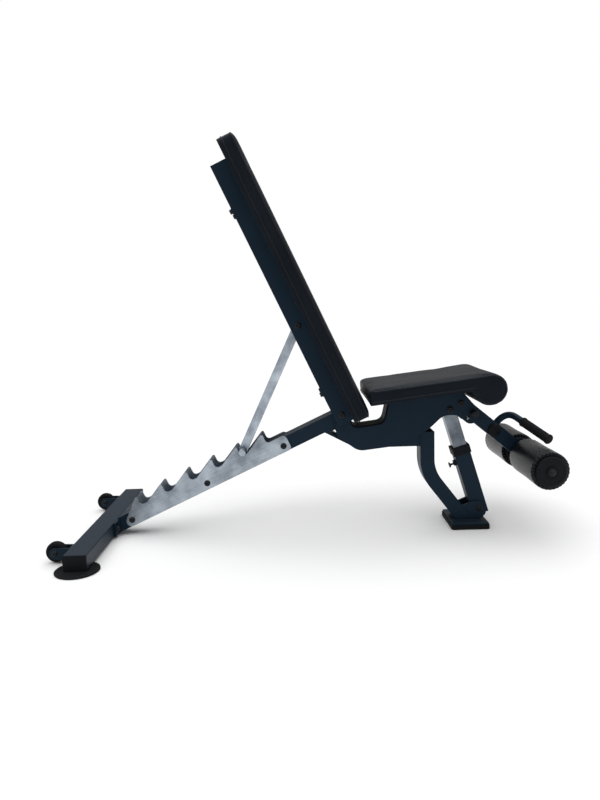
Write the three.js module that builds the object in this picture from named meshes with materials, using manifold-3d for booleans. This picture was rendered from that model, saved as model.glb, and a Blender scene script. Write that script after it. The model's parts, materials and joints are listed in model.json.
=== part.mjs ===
// Adjustable weight bench: a ladder frame with a reclining backrest held by a strut, a tilting seat
// carriage on a telescoping post, and a leg arm with foam rollers and a handle.
// Millimetres, +X towards the rollers, +Y to the bench's left, +Z up, floor at Z = 0.
import * as THREE from "three";
import { mergeVertices } from "three/addons/utils/BufferGeometryUtils.js";
import Module from "manifold-3d";

const wasm = await Module();
wasm.setup();

const radians = THREE.MathUtils.degToRad;

// ---------------------------------------------------------------- driving dimensions

// Fits
const touchGap = 0.3; // between two pieces that bear on each other
const runningGap = 1.5; // beside a piece that swings
const boltGap = 0.3; // radial, around a fixed bolt
const slideGap = 0.4; // per side, around a tube that slides
const through = 80; // how far a cut reaches past the middle of the bench
const beyond = 200; // how far a trimming cut reaches past a tube's end

// Rectangular tube stock shared by the crossbar, main tube, lower tube and leg
const stockWidth = 60;
const stockDepth = 40;
const stockWall = 2.5;

// Rear crossbar, its round feet and its transport wheels
const crossbarLength = 594;
const crossbarCapThick = 3;
const capPlugDepth = 12;
const footDiscRadius = 56;
const footDiscThick = 5.7;
const footDiscInset = 16; // disc centre, in from the cap's outer face
const wheelRadius = 27;
const wheelWidth = 22;
const wheelBoltRadius = 5;
const wheelHeadRadius = 8.5;
const wheelHeadThick = 5;
const wheelReach = 42; // wheel centre behind the crossbar
const wheelFloorGap = 2;
const wheelSpacing = 442;
const wheelEarThick = 4;
const wheelEarRadius = 15;

// Main tube, with the toothed ladder plates on its sides
const ladderAngle = 24.6;
const ladderPlateThick = 5;
const toothCount = 6;
const toothPitch = 80.75;
const firstTooth = 158.3;
const toothHeight = 57; // sharp corner of a tooth above the tube's centreline
const notchFloor = 25;
const notchRadius = 10.4;
const notchFlat = 21.5;
const toothSetback = 2.5; // face of a tooth in front of its tip's station
const toothTipRadius = 4.5;
const ladderCorner = 14;
const ladderOverhang = 18.5; // plate past its end bolts
const ladderBoltStart = 118.2;
const ladderBoltPitch = 243.3;
const ladderBoltCount = 3;
const ladderBoltRadius = 5;
const ladderBoltLift = -2; // above the tube's centreline
const ladderHeadRadius = 9;
const ladderHeadThick = 5.5;
const flangeHalfWidth = 58;
const flangeThick = 6;
const flangeBoltSpread = 44;

// Main axle, shared by the backrest and the seat carriage
const axleRun = 791.7; // along the main tube
const axleRise = 9.2; // above its centreline
const axleRadius = 6;
const axleHeadRadius = 10;
const mainTubeOverhang = 12;

// Lower tube, front leg and foot
const lowerTubeBottom = 237;
const lowerTubeStart = 757;
const legCentre = 959;
const legBendTop = 198;
const legBendRadius = 120;
const legLean = 37; // of the straight lower part, from the vertical
const footLength = 108;
const footWidth = 142;
const footRubberThick = 12;
const footPlateThick = 5;
const footPlateInset = 3;
const footHeel = 1020; // rear edge of the rubber foot

// Telescoping post between the foot and the seat carriage
const postFootX = 1109;
const postFootZ = 49.5;
const postOuterSide = 45;
const postOuterWall = 3;
const postOuterTop = 180;
const postTubeGap = 0.5; // per side, between the two tubes
const postInnerSide = postOuterSide - 2 * (postOuterWall + postTubeGap);
const postInnerBottom = 52;
const postInnerWall = 2.5;
const postHolePitch = 25;
const postHoleCount = 4;
const collarSkirt = 15;
const collarTop = 8;
const postPinHeight = 142;
const pullPinRadius = 4;
const pullPinNutRadius = 9;
const pullPinNutHeight = 7;
const earThick = 5;
const openPivotGap = 2.3; // radial, at the pivot where the post's linkage is opened

// Seat carriage, in the seat's own frame: u forwards from the main axle, w up
const seatAngle = 6.5;
const sidePlateThick = 4.5;
const carriageInner = stockWidth / 2 + runningGap;
const axleEarRadius = 21.5;
const plateTop = 21.7;
const boardThick = 14;
const boardLift = 27;
const boardRear = 84;
const boardFront = 350;
const boardHalfWidth = 138;
const seatRear = 75;
const seatTop = 70;
const seatRollCentre = 396;
const seatRollRadius = 45;
const padHalfWidth = 148;
const strapThick = 5;
const strapHalfWidth = 105;
const stripThick = 4;
const postPivotU = 303.4;
const postPivotW = -31.5;
const pivotBoltRadius = 6;
const pivotHeadRadius = 9.5;
const pivotHeadThick = 6;

// Leg arm and rollers
const armPivotU = 336;
const armPivotW = -18.2;
const armAngle = 40; // below the horizontal
const armLength = 245.9; // pivot to roller axle
const armHeight = 40;
const armHalfWidth = 25;
const armWall = 2.5;
const armTail = 16;
const armDrop = 28; // degrees the arm can swing down
const lockPinRadius = 5.5;
const lockPinReach = 46.5; // lock pin from the arm pivot
const lockPinPitch = 25; // degrees between the lock holes
const axleSleeveRadius = 24;
const rollerAxleRadius = 10;
const rollerRadius = 50;
const rollerHalfSpan = 222;
const rollerCapRadius = 41;
const rollerCapThick = 7;
const rollerInnerThick = 6;
const rollerBoreGap = 0.4;
const handleAlong = 127;
const handleRadius = 9.5;
const handleBoltRadius = 4;
const handleRise = 45;
const handleBend = 44;
const handleSplay = 30;
const gripStart = 70;
const gripLength = 105;
const gripRadius = 12;
const gripFlangeRadius = 14;
const handleReach = gripStart + gripLength - 6;

// Backrest, in its own frame: x forwards from the main axle, z up along the back
const backLean = 24.5; // from the vertical
const backTubeDepth = 45;
const backTubeWidth = 20;
const backTubeWall = 2;
const backTubeTail = 26;
const backTubeTop = 751;
const backShellThick = 17;
const backPadThick = 31;
const backPadBottom = -25;
const backPadTop = 786;
const backBarHeight = 50;
const backBarThick = 5;
const backBarCentres = [75, 400, 630, 726];

// Strut between the backrest and the ladder
const strutPivotUp = 274.7;
const strutNotch = 5; // tooth behind which the strut's pin rests
const strutWidth = 40;
const strutDepth = 25;
const strutWall = 2.5;
const strutPinRadius = 10;

// ---------------------------------------------------------------- derived places

const stockHalf = stockWidth / 2;
const ladderInner = stockHalf + touchGap;
const ladderOuter = ladderInner + ladderPlateThick;
const carriageOuter = carriageInner + sidePlateThick;
const backInner = carriageOuter + runningGap + 0.5;
const backOuter = backInner + backTubeWidth;
const crossbarBottom = footDiscThick + touchGap;
const crossbarMiddle = crossbarBottom + stockDepth / 2;
const legBottom = footRubberThick + touchGap + footPlateThick + touchGap;

// A point of the ladder's frame, as X and Z of the whole bench.
function ladderPoint(along, above) {
  const a = radians(ladderAngle);
  return {
    x: along * Math.cos(a) - above * Math.sin(a),
    z: along * Math.sin(a) + above * Math.cos(a),
  };
}

const axle = ladderPoint(axleRun, axleRise);

// A point of the seat's frame, as X and Z of the whole bench.
function seatPoint(u, w) {
  const a = radians(seatAngle);
  return {
    x: axle.x + u * Math.cos(a) - w * Math.sin(a),
    z: axle.z + u * Math.sin(a) + w * Math.cos(a),
  };
}

const postTop = seatPoint(postPivotU, postPivotW);
const armPivot = seatPoint(armPivotU, armPivotW);
const postLength = Math.hypot(postTop.x - postFootX, postTop.z - postFootZ);
const postLean = Math.atan2(postFootX - postTop.x, postTop.z - postFootZ);
const armToPost =
  (armPivot.x - postTop.x) * Math.cos(postLean) + (armPivot.z - postTop.z) * Math.sin(postLean);
const rollerX = armPivot.x + armLength * Math.cos(radians(armAngle));
const strutPinAlong = firstTooth + (strutNotch - 1) * toothPitch + toothSetback + touchGap + strutPinRadius;
const strutPinAbove = notchFloor + touchGap + strutPinRadius;
const strutFoot = ladderPoint(strutPinAlong, strutPinAbove);
const strutHead = {
  x: axle.x - strutPivotUp * Math.sin(radians(backLean)),
  z: axle.z + strutPivotUp * Math.cos(radians(backLean)),
};
const strutLength = Math.hypot(strutHead.x - strutFoot.x, strutHead.z - strutFoot.z);
const strutLean = Math.atan2(strutHead.x - strutFoot.x, strutHead.z - strutFoot.z);
const rearMost = -wheelReach - wheelRadius;
const frontMost = rollerX + rollerRadius;

// ---------------------------------------------------------------- materials

function finish(color, roughness, metalness) {
  return () => new THREE.MeshStandardMaterial({ color, roughness, metalness });
}

const framePaint = finish(0x3c4858, 0.45, 0.3);
const zincPlate = finish(0xc4ced6, 0.35, 0.9);
const blackSteel = finish(0x1c1e20, 0.4, 0.7);
const blackPlastic = finish(0x17181a, 0.55, 0);
const rubber = finish(0x121314, 0.8, 0);
const vinyl = finish(0x222325, 0.5, 0);

// ---------------------------------------------------------------- shape tools

// Closed or open path with rounded corners; a corner is [x, z] or [x, z, radius].
function traceCorners(path, corners, closed) {
  const last = corners.length - 1;
  corners.forEach(([x, z, r = 0], i) => {
    const isEnd = !closed && (i === 0 || i === last);
    if (isEnd || r === 0) {
      if (i === 0) path.moveTo(x, z);
      else path.lineTo(x, z);
      return;
    }
    const before = corners[(i + last) % corners.length];
    const after = corners[(i + 1) % corners.length];
    const corner = new THREE.Vector2(x, z);
    const back = new THREE.Vector2(before[0] - x, before[1] - z).normalize();
    const ahead = new THREE.Vector2(after[0] - x, after[1] - z).normalize();
    const half = Math.acos(THREE.MathUtils.clamp(back.dot(ahead), -1, 1)) / 2;
    const bisector = back.clone().add(ahead).normalize();
    const centre = corner.clone().addScaledVector(bisector, r / Math.sin(half));
    const start = corner.clone().addScaledVector(back, r / Math.tan(half));
    const end = corner.clone().addScaledVector(ahead, r / Math.tan(half));
    if (i === 0) path.moveTo(start.x, start.y);
    else path.lineTo(start.x, start.y);
    const a0 = Math.atan2(start.y - centre.y, start.x - centre.x);
    const a1 = Math.atan2(end.y - centre.y, end.x - centre.x);
    const clockwise = back.x * ahead.y - back.y * ahead.x > 0;
    path.absarc(centre.x, centre.y, r, a0, a1, clockwise);
  });
  if (closed) path.closePath();
  return path;
}

function outline(corners) {
  return traceCorners(new THREE.Shape(), corners, true);
}

// Corners moved sideways by a distance, to the left of the direction of travel.
function shifted(corners, distance) {
  const points = corners.map(([x, z]) => new THREE.Vector2(x, z));
  const sides = points.slice(1).map((p, i) => {
    const way = p.clone().sub(points[i]).normalize();
    return new THREE.Vector2(-way.y, way.x);
  });
  return corners.map(([, , r = 0], i) => {
    const first = sides[Math.max(i - 1, 0)];
    const second = sides[Math.min(i, sides.length - 1)];
    const mid = first.clone().add(second).normalize();
    const moved = points[i].clone().addScaledVector(mid, distance / mid.dot(first));
    const way = i > 0 && i < sides.length ? first.x * second.y - first.y * second.x : 0;
    return [moved.x, moved.y, r === 0 ? 0 : r - Math.sign(way) * distance];
  });
}

// A band of even width whose centreline has rounded corners.
function band(corners, width) {
  const left = shifted(corners, width / 2);
  const right = shifted(corners, -width / 2);
  return outline([...left, ...right.reverse()]);
}

function rectangle(x0, z0, x1, z1, r = 0) {
  return outline([
    [x0, z0, r],
    [x1, z0, r],
    [x1, z1, r],
    [x0, z1, r],
  ]);
}

// A shape drawn in X and Z, as thick as from y0 to y1.
function slab(shape, y0, y1, segments = 4) {
  const g = new THREE.ExtrudeGeometry(shape, {
    depth: y1 - y0,
    bevelEnabled: false,
    curveSegments: segments,
  });
  return g.rotateX(Math.PI / 2).translate(0, y1, 0);
}

function box(x0, x1, y0, y1, z0, z1) {
  const g = new THREE.BoxGeometry(x1 - x0, y1 - y0, z1 - z0);
  return g.translate((x0 + x1) / 2, (y0 + y1) / 2, (z0 + z1) / 2);
}

// A round piece about a line along Y through (x, z): profile points are [radius, y].
function turned(profile, x, z, segments = 16) {
  const points = profile.map(([r, y]) => new THREE.Vector2(r, y));
  return new THREE.LatheGeometry(points, segments).translate(x, 0, z);
}

function rod(radius, y0, y1, x, z, segments = 12) {
  return turned([[0, y0], [radius, y0], [radius, y1], [0, y1]], x, z, segments);
}

function toSolid(geometry) {
  const bare = new THREE.BufferGeometry();
  bare.setAttribute("position", geometry.getAttribute("position").clone());
  if (geometry.index) bare.setIndex(geometry.index.clone());
  const merged = mergeVertices(bare, 1e-4);
  return new wasm.Manifold(
    new wasm.Mesh({
      numProp: 3,
      vertProperties: merged.attributes.position.array,
      triVerts: new Uint32Array(merged.index.array),
    }),
  );
}

function toGeometry(solid) {
  const mesh = solid.getMesh();
  const g = new THREE.BufferGeometry();
  g.setAttribute("position", new THREE.BufferAttribute(mesh.vertProperties, 3));
  g.setIndex(new THREE.BufferAttribute(mesh.triVerts, 1));
  g.computeVertexNormals();
  return g;
}

function combine(first, others, how) {
  return toGeometry(others.reduce((sum, g) => sum[how](toSolid(g)), toSolid(first)));
}

const cut = (body, ...tools) => combine(body, tools, "subtract");
const join = (body, ...more) => combine(body, more, "add");
const keep = (body, ...more) => combine(body, more, "intersect");

// A bolt across the bench from side to side, with a domed head at each end.
function crossBolt(shaftRadius, headRadius, headThick, halfGrip, x, z) {
  const edge = headRadius * 0.8;
  return turned(
    [
      [0, -halfGrip - headThick],
      [edge, -halfGrip - headThick],
      [headRadius, -halfGrip - headThick * 0.6],
      [headRadius, -halfGrip],
      [shaftRadius, -halfGrip],
      [shaftRadius, halfGrip],
      [headRadius, halfGrip],
      [headRadius, halfGrip + headThick * 0.6],
      [edge, halfGrip + headThick],
      [0, halfGrip + headThick],
    ],
    x,
    z,
  );
}

// A pivot bolt through pieces whose outer faces are at plus and minus the half width.
function pivotBolt(halfWidth, x, z) {
  return crossBolt(pivotBoltRadius, pivotHeadRadius, pivotHeadThick, halfWidth + touchGap, x, z);
}

// ---------------------------------------------------------------- scene graph

const bench = new THREE.Group();
bench.position.x = -(rearMost + frontMost) / 2;

function frameAt(x, z, turn) {
  const group = new THREE.Group();
  group.position.set(x, 0, z);
  group.rotation.y = turn;
  bench.add(group);
  return group;
}

const ground = frameAt(0, 0, 0);
const ladder = frameAt(0, 0, -radians(ladderAngle));
const seat = frameAt(axle.x, axle.z, -radians(seatAngle));
const back = frameAt(axle.x, axle.z, -radians(backLean));
const post = frameAt(postFootX, postFootZ, -postLean);
const arm = frameAt(armPivot.x, armPivot.z, radians(armAngle));
const strut = frameAt(strutFoot.x, strutFoot.z, strutLean);

function add(group, name, geometry, material) {
  const mesh = new THREE.Mesh(geometry, material());
  mesh.name = name;
  group.add(mesh);
}

const sides = [
  ["near", -1],
  ["far", 1],
];

// From y0 to y1 on the far side, mirrored for the near side.
function sideSlab(shape, side, y0, y1, segments) {
  return slab(shape, Math.min(side * y0, side * y1), Math.max(side * y0, side * y1), segments);
}

// ---------------------------------------------------------------- rear crossbar

const crossbarHalf = crossbarLength / 2;
const flangeFace = stockWidth + touchGap;

function rearCrossbar() {
  const top = crossbarBottom + stockDepth;
  const outer = slab(rectangle(0, crossbarBottom, stockWidth, top, 3), -crossbarHalf, crossbarHalf, 2);
  const w = stockWall;
  const bore = box(w, stockWidth - w, -crossbarHalf - 1, crossbarHalf + 1, crossbarBottom + w, top - w);
  const holes = [-flangeBoltSpread, flangeBoltSpread].map((y) =>
    rod(ladderBoltRadius + boltGap, -1, stockWidth + 1, 0, 0)
      .rotateZ(-Math.PI / 2)
      .translate(0, y, crossbarMiddle),
  );
  return cut(outer, bore, ...holes);
}

function crossbarCap(side) {
  const face = crossbarHalf + touchGap;
  const top = crossbarBottom + stockDepth;
  const plugInset = stockWall + 0.5;
  const cover = rectangle(0, crossbarBottom, stockWidth, top, 3);
  const plate = sideSlab(cover, side, face, face + crossbarCapThick, 2);
  const plug = sideSlab(
    rectangle(plugInset, crossbarBottom + plugInset, stockWidth - plugInset, top - plugInset),
    side,
    face - capPlugDepth,
    face + 1,
  );
  return join(plate, plug);
}

function rearFoot(side) {
  const r = footDiscRadius;
  const t = footDiscThick;
  const g = turned([[0, 0], [r, 0], [r, t * 0.5], [r - 4, t], [0, t]], 0, 0, 28).rotateX(Math.PI / 2);
  const y = side * (crossbarHalf + crossbarCapThick - footDiscInset);
  return g.translate(stockWidth / 2, y, 0);
}

const wheelZ = wheelRadius + wheelFloorGap;
const wheelEarInner = wheelWidth / 2 + runningGap;
const wheelEarOuter = wheelEarInner + wheelEarThick;

function wheelBracket(side) {
  const y = (side * wheelSpacing) / 2;
  const rearFace = -touchGap;
  const ear = outline([
    [rearFace, crossbarBottom + 4],
    [rearFace, crossbarBottom + 36, 4],
    [-wheelReach - wheelEarRadius, wheelZ + wheelEarRadius, wheelEarRadius - 0.01],
    [-wheelReach - wheelEarRadius, wheelZ - wheelEarRadius, wheelEarRadius - 0.01],
  ]);
  const both = slab(ear, y - wheelEarOuter, y + wheelEarOuter);
  const web = rearFace - wheelEarThick;
  const room = box(-through, web, y - wheelEarInner, y + wheelEarInner, -through, through);
  const hole = rod(wheelBoltRadius + boltGap, y - through, y + through, -wheelReach, wheelZ);
  return cut(both, room, hole);
}

function wheelAxle(side) {
  const halfGrip = wheelEarOuter + touchGap;
  const bolt = crossBolt(wheelBoltRadius, wheelHeadRadius, wheelHeadThick, halfGrip, -wheelReach, wheelZ);
  return bolt.translate(0, (side * wheelSpacing) / 2, 0);
}

function wheel(side) {
  const h = wheelWidth / 2;
  const bore = wheelBoltRadius + boltGap;
  const r = wheelRadius;
  return turned(
    [
      [bore, -h],
      [r * 0.42, -h],
      [r * 0.46, -h + 2.5],
      [r * 0.74, -h + 2.5],
      [r * 0.8, -h],
      [r - 3, -h],
      [r, -h + 4],
      [r, h - 4],
      [r - 3, h],
      [r * 0.8, h],
      [r * 0.74, h - 2.5],
      [r * 0.46, h - 2.5],
      [r * 0.42, h],
      [bore, h],
      [bore, -h],
    ],
    -wheelReach,
    wheelZ,
    24,
  ).translate(0, (side * wheelSpacing) / 2, 0);
}

add(ground, "rear_crossbar", rearCrossbar(), framePaint);
for (const [label, side] of sides) {
  add(ground, "crossbar_cap_" + label, crossbarCap(side), blackPlastic);
  add(ground, "rear_foot_" + label, rearFoot(side), rubber);
  add(ground, "wheel_bracket_" + label, wheelBracket(side), framePaint);
  add(ground, "wheel_bolt_" + label, wheelAxle(side), blackSteel);
  add(ground, "wheel_" + label, wheel(side), rubber);
}

// ---------------------------------------------------------------- main tube and ladder

const mainTubeEnd = axleRun + mainTubeOverhang;
const ladderBoltStations = [...Array(ladderBoltCount).keys()].map(
  (i) => ladderBoltStart + i * ladderBoltPitch,
);

// Holes for the bolts that clamp the ladder plates to the main tube, along the ladder's direction.
function ladderBoltHoles() {
  return ladderBoltStations.map((along) =>
    rod(ladderBoltRadius + boltGap, -through, through, along, ladderBoltLift),
  );
}

// The main tube is drawn along the ladder's direction and cut upright where its flange meets the crossbar.
function mainTube() {
  const h = stockDepth / 2;
  const outer = slab(rectangle(-20, -h, mainTubeEnd, h, 3), -stockHalf, stockHalf, 2);
  const boreHalf = stockHalf - stockWall;
  const bore = box(-30, mainTubeEnd + 1, -boreHalf, boreHalf, -h + stockWall, h - stockWall);
  const axleHole = rod(axleRadius + boltGap, -through, through, axleRun, axleRise);
  const tube = cut(outer, bore, axleHole, ...ladderBoltHoles()).rotateY(-radians(ladderAngle));
  const behind = box(-beyond, flangeFace + flangeThick - 0.5, -through, through, -beyond, beyond);
  const below = box(-beyond, beyond, -through, through, -beyond, crossbarBottom);
  const flange = box(
    flangeFace,
    flangeFace + flangeThick,
    -flangeHalfWidth,
    flangeHalfWidth,
    crossbarBottom,
    crossbarBottom + stockDepth,
  );
  const flangeHoles = [-flangeBoltSpread, flangeBoltSpread].map((y) =>
    rod(ladderBoltRadius + boltGap, 0, beyond, 0, 0)
      .rotateZ(-Math.PI / 2)
      .translate(0, y, crossbarMiddle),
  );
  return cut(join(cut(tube, behind, below), flange), ...flangeHoles);
}

function flangeBolt(y) {
  const front = flangeFace + flangeThick + touchGap;
  const g = turned(
    [
      [0, -8 - touchGap],
      [9, -8 - touchGap],
      [9, -touchGap],
      [ladderBoltRadius, -touchGap],
      [ladderBoltRadius, front],
      [10, front],
      [10, front + 2],
      [8.5, front + 2],
      [8.5, front + 7.5],
      [0, front + 7.5],
    ],
    0,
    0,
  );
  return g.rotateZ(-Math.PI / 2).translate(0, y, crossbarMiddle);
}

function ladderOutline() {
  const bottom = -stockDepth / 2;
  const rear = ladderBoltStart - ladderOverhang;
  const front = ladderBoltStations.at(-1) + ladderOverhang;
  const corners = [
    [rear, bottom, ladderCorner],
    [front, bottom, 10],
    [front, notchFloor, 12],
  ];
  for (let i = toothCount - 1; i >= 0; i--) {
    const tip = firstTooth + i * toothPitch;
    if (i < toothCount - 1) corners.push([tip + notchFlat, notchFloor, 9]);
    corners.push([tip + toothSetback, notchFloor, notchRadius]);
    corners.push([tip + toothSetback, toothHeight, toothTipRadius]);
  }
  corners.push([rear, 2, ladderCorner]);
  return outline(corners);
}

function ladderPlate(side) {
  const plate = sideSlab(ladderOutline(), side, ladderInner, ladderOuter);
  return cut(plate, ...ladderBoltHoles());
}

add(ground, "main_tube", mainTube(), framePaint);
for (const [label, side] of sides) {
  add(ground, "flange_bolt_" + label, flangeBolt(side * flangeBoltSpread), blackSteel);
  add(ladder, "ladder_plate_" + label, ladderPlate(side), zincPlate);
}
ladderBoltStations.forEach((along, i) => {
  const grip = ladderOuter + touchGap;
  const g = crossBolt(ladderBoltRadius, ladderHeadRadius, ladderHeadThick, grip, along, ladderBoltLift);
  add(ladder, "ladder_bolt_" + (i + 1), g, blackSteel);
});

// ---------------------------------------------------------------- lower tube, leg and foot

const lowerTubeTop = lowerTubeBottom + stockDepth;
const legRear = legCentre - stockDepth / 2;

// The folded link closes the corner between the main tube and the lower tube.
function spineLink() {
  const under = (x) => {
    const a = radians(ladderAngle);
    return (x * Math.sin(a) - stockDepth / 2) / Math.cos(a) - touchGap * 2;
  };
  const left = lowerTubeStart - 88;
  const right = lowerTubeStart - touchGap;
  const corners = [
    [left, under(left)],
    [right - 5, lowerTubeBottom + 2, 8],
    [right, lowerTubeBottom, 0],
    [right, lowerTubeTop - 1, 4],
    [right - 20, lowerTubeTop + 9, 6],
    [axle.x + 2, under(axle.x + 2)],
  ];
  const solid = slab(outline(corners), -stockHalf, stockHalf, 3);
  const t = stockWall * 2;
  const inner = [
    [left + 14, under(left + 14) - t],
    [right - t - 3, lowerTubeBottom + t + 2],
    [right - t, lowerTubeTop - t - 1],
    [right - 22, lowerTubeTop + 2],
    [axle.x - 4, under(axle.x - 4) - t],
  ];
  return cut(solid, slab(outline(inner), -stockHalf - 1, stockHalf + 1));
}

function lowerTube() {
  const end = legRear - touchGap;
  const shape = rectangle(lowerTubeStart, lowerTubeBottom, end, lowerTubeTop, 0);
  const w = stockWall;
  const y = stockHalf - w;
  const bore = box(lowerTubeStart - 1, end + 1, -y, y, lowerTubeBottom + w, lowerTubeTop - w);
  return cut(slab(shape, -stockHalf, stockHalf), bore);
}

// Centreline of the leg: straight down, then bent forwards to the foot. The lower end runs on by `extra`.
function legCorners(extra) {
  const lean = radians(legLean);
  const bendX = legCentre + legBendRadius * (1 - Math.cos(lean));
  const bendZ = legBendTop - legBendRadius * Math.sin(lean);
  const drop = bendZ - legBottom + extra;
  return [
    [legCentre, lowerTubeTop + extra],
    [legCentre, legBendTop - legBendRadius * Math.tan(lean / 2), legBendRadius],
    [bendX + drop * Math.tan(lean), legBottom - extra],
  ];
}

function legFrontEdge(z) {
  const lean = radians(legLean);
  const bendX = legCentre + legBendRadius * (1 - Math.cos(lean));
  const bendZ = legBendTop - legBendRadius * Math.sin(lean);
  return bendX + (bendZ - z) * Math.tan(lean) + stockDepth / 2 / Math.cos(lean);
}

function frontLeg() {
  const spare = 60;
  const outer = slab(band(legCorners(spare), stockDepth), -stockHalf, stockHalf, 10);
  const inner = slab(
    band(legCorners(spare * 2), stockDepth - 2 * stockWall),
    -stockHalf + stockWall,
    stockHalf - stockWall,
    10,
  );
  const reach = box(legRear - through, legRear + beyond, -through, through, legBottom, lowerTubeTop);
  return cut(keep(outer, reach), inner);
}

function footRubber() {
  const x0 = footHeel;
  const shape = new THREE.Shape();
  const h = footWidth / 2;
  traceCorners(
    shape,
    [
      [x0, -h, 8],
      [x0 + footLength, -h, 8],
      [x0 + footLength, h, 8],
      [x0, h, 8],
    ],
    true,
  );
  return new THREE.ExtrudeGeometry(shape, { depth: footRubberThick, bevelEnabled: false, curveSegments: 4 });
}

function footPlate() {
  const i = footPlateInset;
  const z = footRubberThick + touchGap;
  const y = footWidth / 2 - i;
  return box(footHeel + i, footHeel + footLength - i, -y, y, z, z + footPlateThick);
}

const earInner = postOuterSide / 2 + 1;

function postEar(side) {
  const upper = 58;
  const shape = outline([
    [legFrontEdge(upper) + touchGap, upper],
    [postFootX - 20, postFootZ + 21, 12],
    [postFootX + 18, postFootZ + 18, 17],
    [postFootX + 18, postFootZ - 18, 15],
    [postFootX + 2, legBottom],
    [legFrontEdge(legBottom) + touchGap, legBottom],
  ]);
  const hole = rod(pivotBoltRadius + boltGap, -through, through, postFootX, postFootZ);
  return cut(sideSlab(shape, side, earInner, earInner + earThick), hole);
}

add(ground, "spine_link", spineLink(), framePaint);
add(ground, "lower_tube", lowerTube(), framePaint);
add(ground, "front_leg", frontLeg(), framePaint);
add(ground, "foot_plate", footPlate(), framePaint);
add(ground, "foot_rubber", footRubber(), rubber);
for (const [label, side] of sides) {
  add(ground, "post_ear_" + label, postEar(side), framePaint);
}
add(post, "post_lower_bolt", pivotBolt(earInner + earThick, 0, 0), blackSteel);
const axleGrip = backOuter + touchGap;
add(back, "main_axle", crossBolt(axleRadius, axleHeadRadius, pivotHeadThick, axleGrip, 0, 0), blackSteel);

// ---------------------------------------------------------------- telescoping post

function squareTube(side, wall, z0, z1) {
  const h = side / 2;
  const inner = h - wall;
  return cut(box(-h, h, -h, h, z0, z1), box(-inner, inner, -inner, inner, z0 - 1, z1 + 1));
}

// A round piece about a line along X at a height; profile points are [radius, distance behind the post].
function rearwards(profile, z) {
  return turned(profile, 0, 0).rotateZ(Math.PI / 2).translate(0, 0, z);
}

function rearwardRod(radius, start, end, z) {
  return rearwards([[0, start], [radius, start], [radius, end], [0, end]], z);
}

const postHalf = postOuterSide / 2;

function postOuterTube() {
  const tube = squareTube(postOuterSide, postOuterWall, -19, postOuterTop);
  const nut = rearwardRod(pullPinNutRadius, postHalf - 1, postHalf + pullPinNutHeight, postPinHeight);
  const pinHole = rearwardRod(pullPinRadius + boltGap, 0, through, postPinHeight);
  const boltHole = rod(pivotBoltRadius + boltGap, -through, through, 0, 0);
  return cut(join(tube, nut), pinHole, boltHole);
}

function postCollar() {
  const outer = postHalf + 3;
  const skirt = postHalf + touchGap;
  const sleeve = postInnerSide / 2 + slideGap;
  const low = postOuterTop - collarSkirt;
  const high = postOuterTop + touchGap + collarTop;
  return cut(
    box(-outer, outer, -outer, outer, low, high),
    box(-skirt, skirt, -skirt, skirt, low - 1, postOuterTop + touchGap),
    box(-sleeve, sleeve, -sleeve, sleeve, low - 1, high + 1),
  );
}

function postInnerTube() {
  const tube = squareTube(postInnerSide, postInnerWall, postInnerBottom, postLength + 16);
  const holes = [rod(pivotBoltRadius + openPivotGap, -through, through, 0, postLength)];
  for (let i = 0; i < postHoleCount; i++) {
    const z = postPinHeight - i * postHolePitch;
    holes.push(rearwardRod(pullPinRadius + 1, 0, through, z));
  }
  return cut(tube, ...holes);
}

function postPullPin() {
  const tip = postInnerSide / 2 + 0.6;
  const stem = postHalf + pullPinNutHeight;
  return rearwards(
    [
      [0, tip],
      [pullPinRadius, tip],
      [pullPinRadius, stem + 1],
      [3, stem + 2],
      [3, stem + 9],
      [8, stem + 11],
      [8.5, stem + 14],
      [0, stem + 14],
    ],
    postPinHeight,
  );
}

add(post, "post_outer_tube", postOuterTube(), framePaint);
add(post, "post_collar", postCollar(), blackPlastic);
add(post, "post_inner_tube", postInnerTube(), zincPlate);
add(post, "post_pull_pin", postPullPin(), blackSteel);

// ---------------------------------------------------------------- seat carriage

// The notch that the foot of the backrest swings in, from the board down and back up to the axle's ear.
const notchCorners = [
  [134, plateTop],
  [135, 4, 20],
  [117, -47, 26],
  [25, -47, 20],
  [axleEarRadius, -22],
];

function sidePlateOutline() {
  const e = axleEarRadius;
  return outline([
    [e, e, e - 0.01],
    [-e, e, e - 0.01],
    [-e, -60, 12],
    [33, -113.5, 45],
    [195, -114.5, 240],
    [283, -46, 46],
    [322, -50.5, 34],
    [351, -82, 20],
    [386, -78, 22],
    [386, -48, 14],
    [349, 6, 10],
    [349, plateTop],
    ...notchCorners,
  ]);
}

function lockHole(step) {
  const a = radians(armAngle + seatAngle + step * lockPinPitch);
  return { u: armPivotU + lockPinReach * Math.cos(a), w: armPivotW - lockPinReach * Math.sin(a) };
}

function sidePlate(side) {
  const plate = sideSlab(sidePlateOutline(), side, carriageInner, carriageOuter, 5);
  const hole = (r, u, w) => rod(r, -through, through, u, w);
  const lock = lockHole(0);
  const spare = lockHole(1);
  return cut(
    plate,
    hole(axleRadius + boltGap, 0, 0),
    hole(pivotBoltRadius + boltGap, postPivotU, postPivotW),
    hole(pivotBoltRadius + boltGap, armPivotU, armPivotW),
    hole(lockPinRadius + boltGap, lock.u, lock.w),
    hole(lockPinRadius + boltGap, spare.u, spare.w),
  );
}

function notchStrip() {
  const half = carriageInner - touchGap;
  const path = shifted(notchCorners, -stripThick / 2);
  return slab(band(path, stripThick), -half, half, 5);
}

function seatStrap(u) {
  return box(u - 20, u + 20, -strapHalfWidth, strapHalfWidth, plateTop + touchGap, plateTop + strapThick);
}

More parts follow.
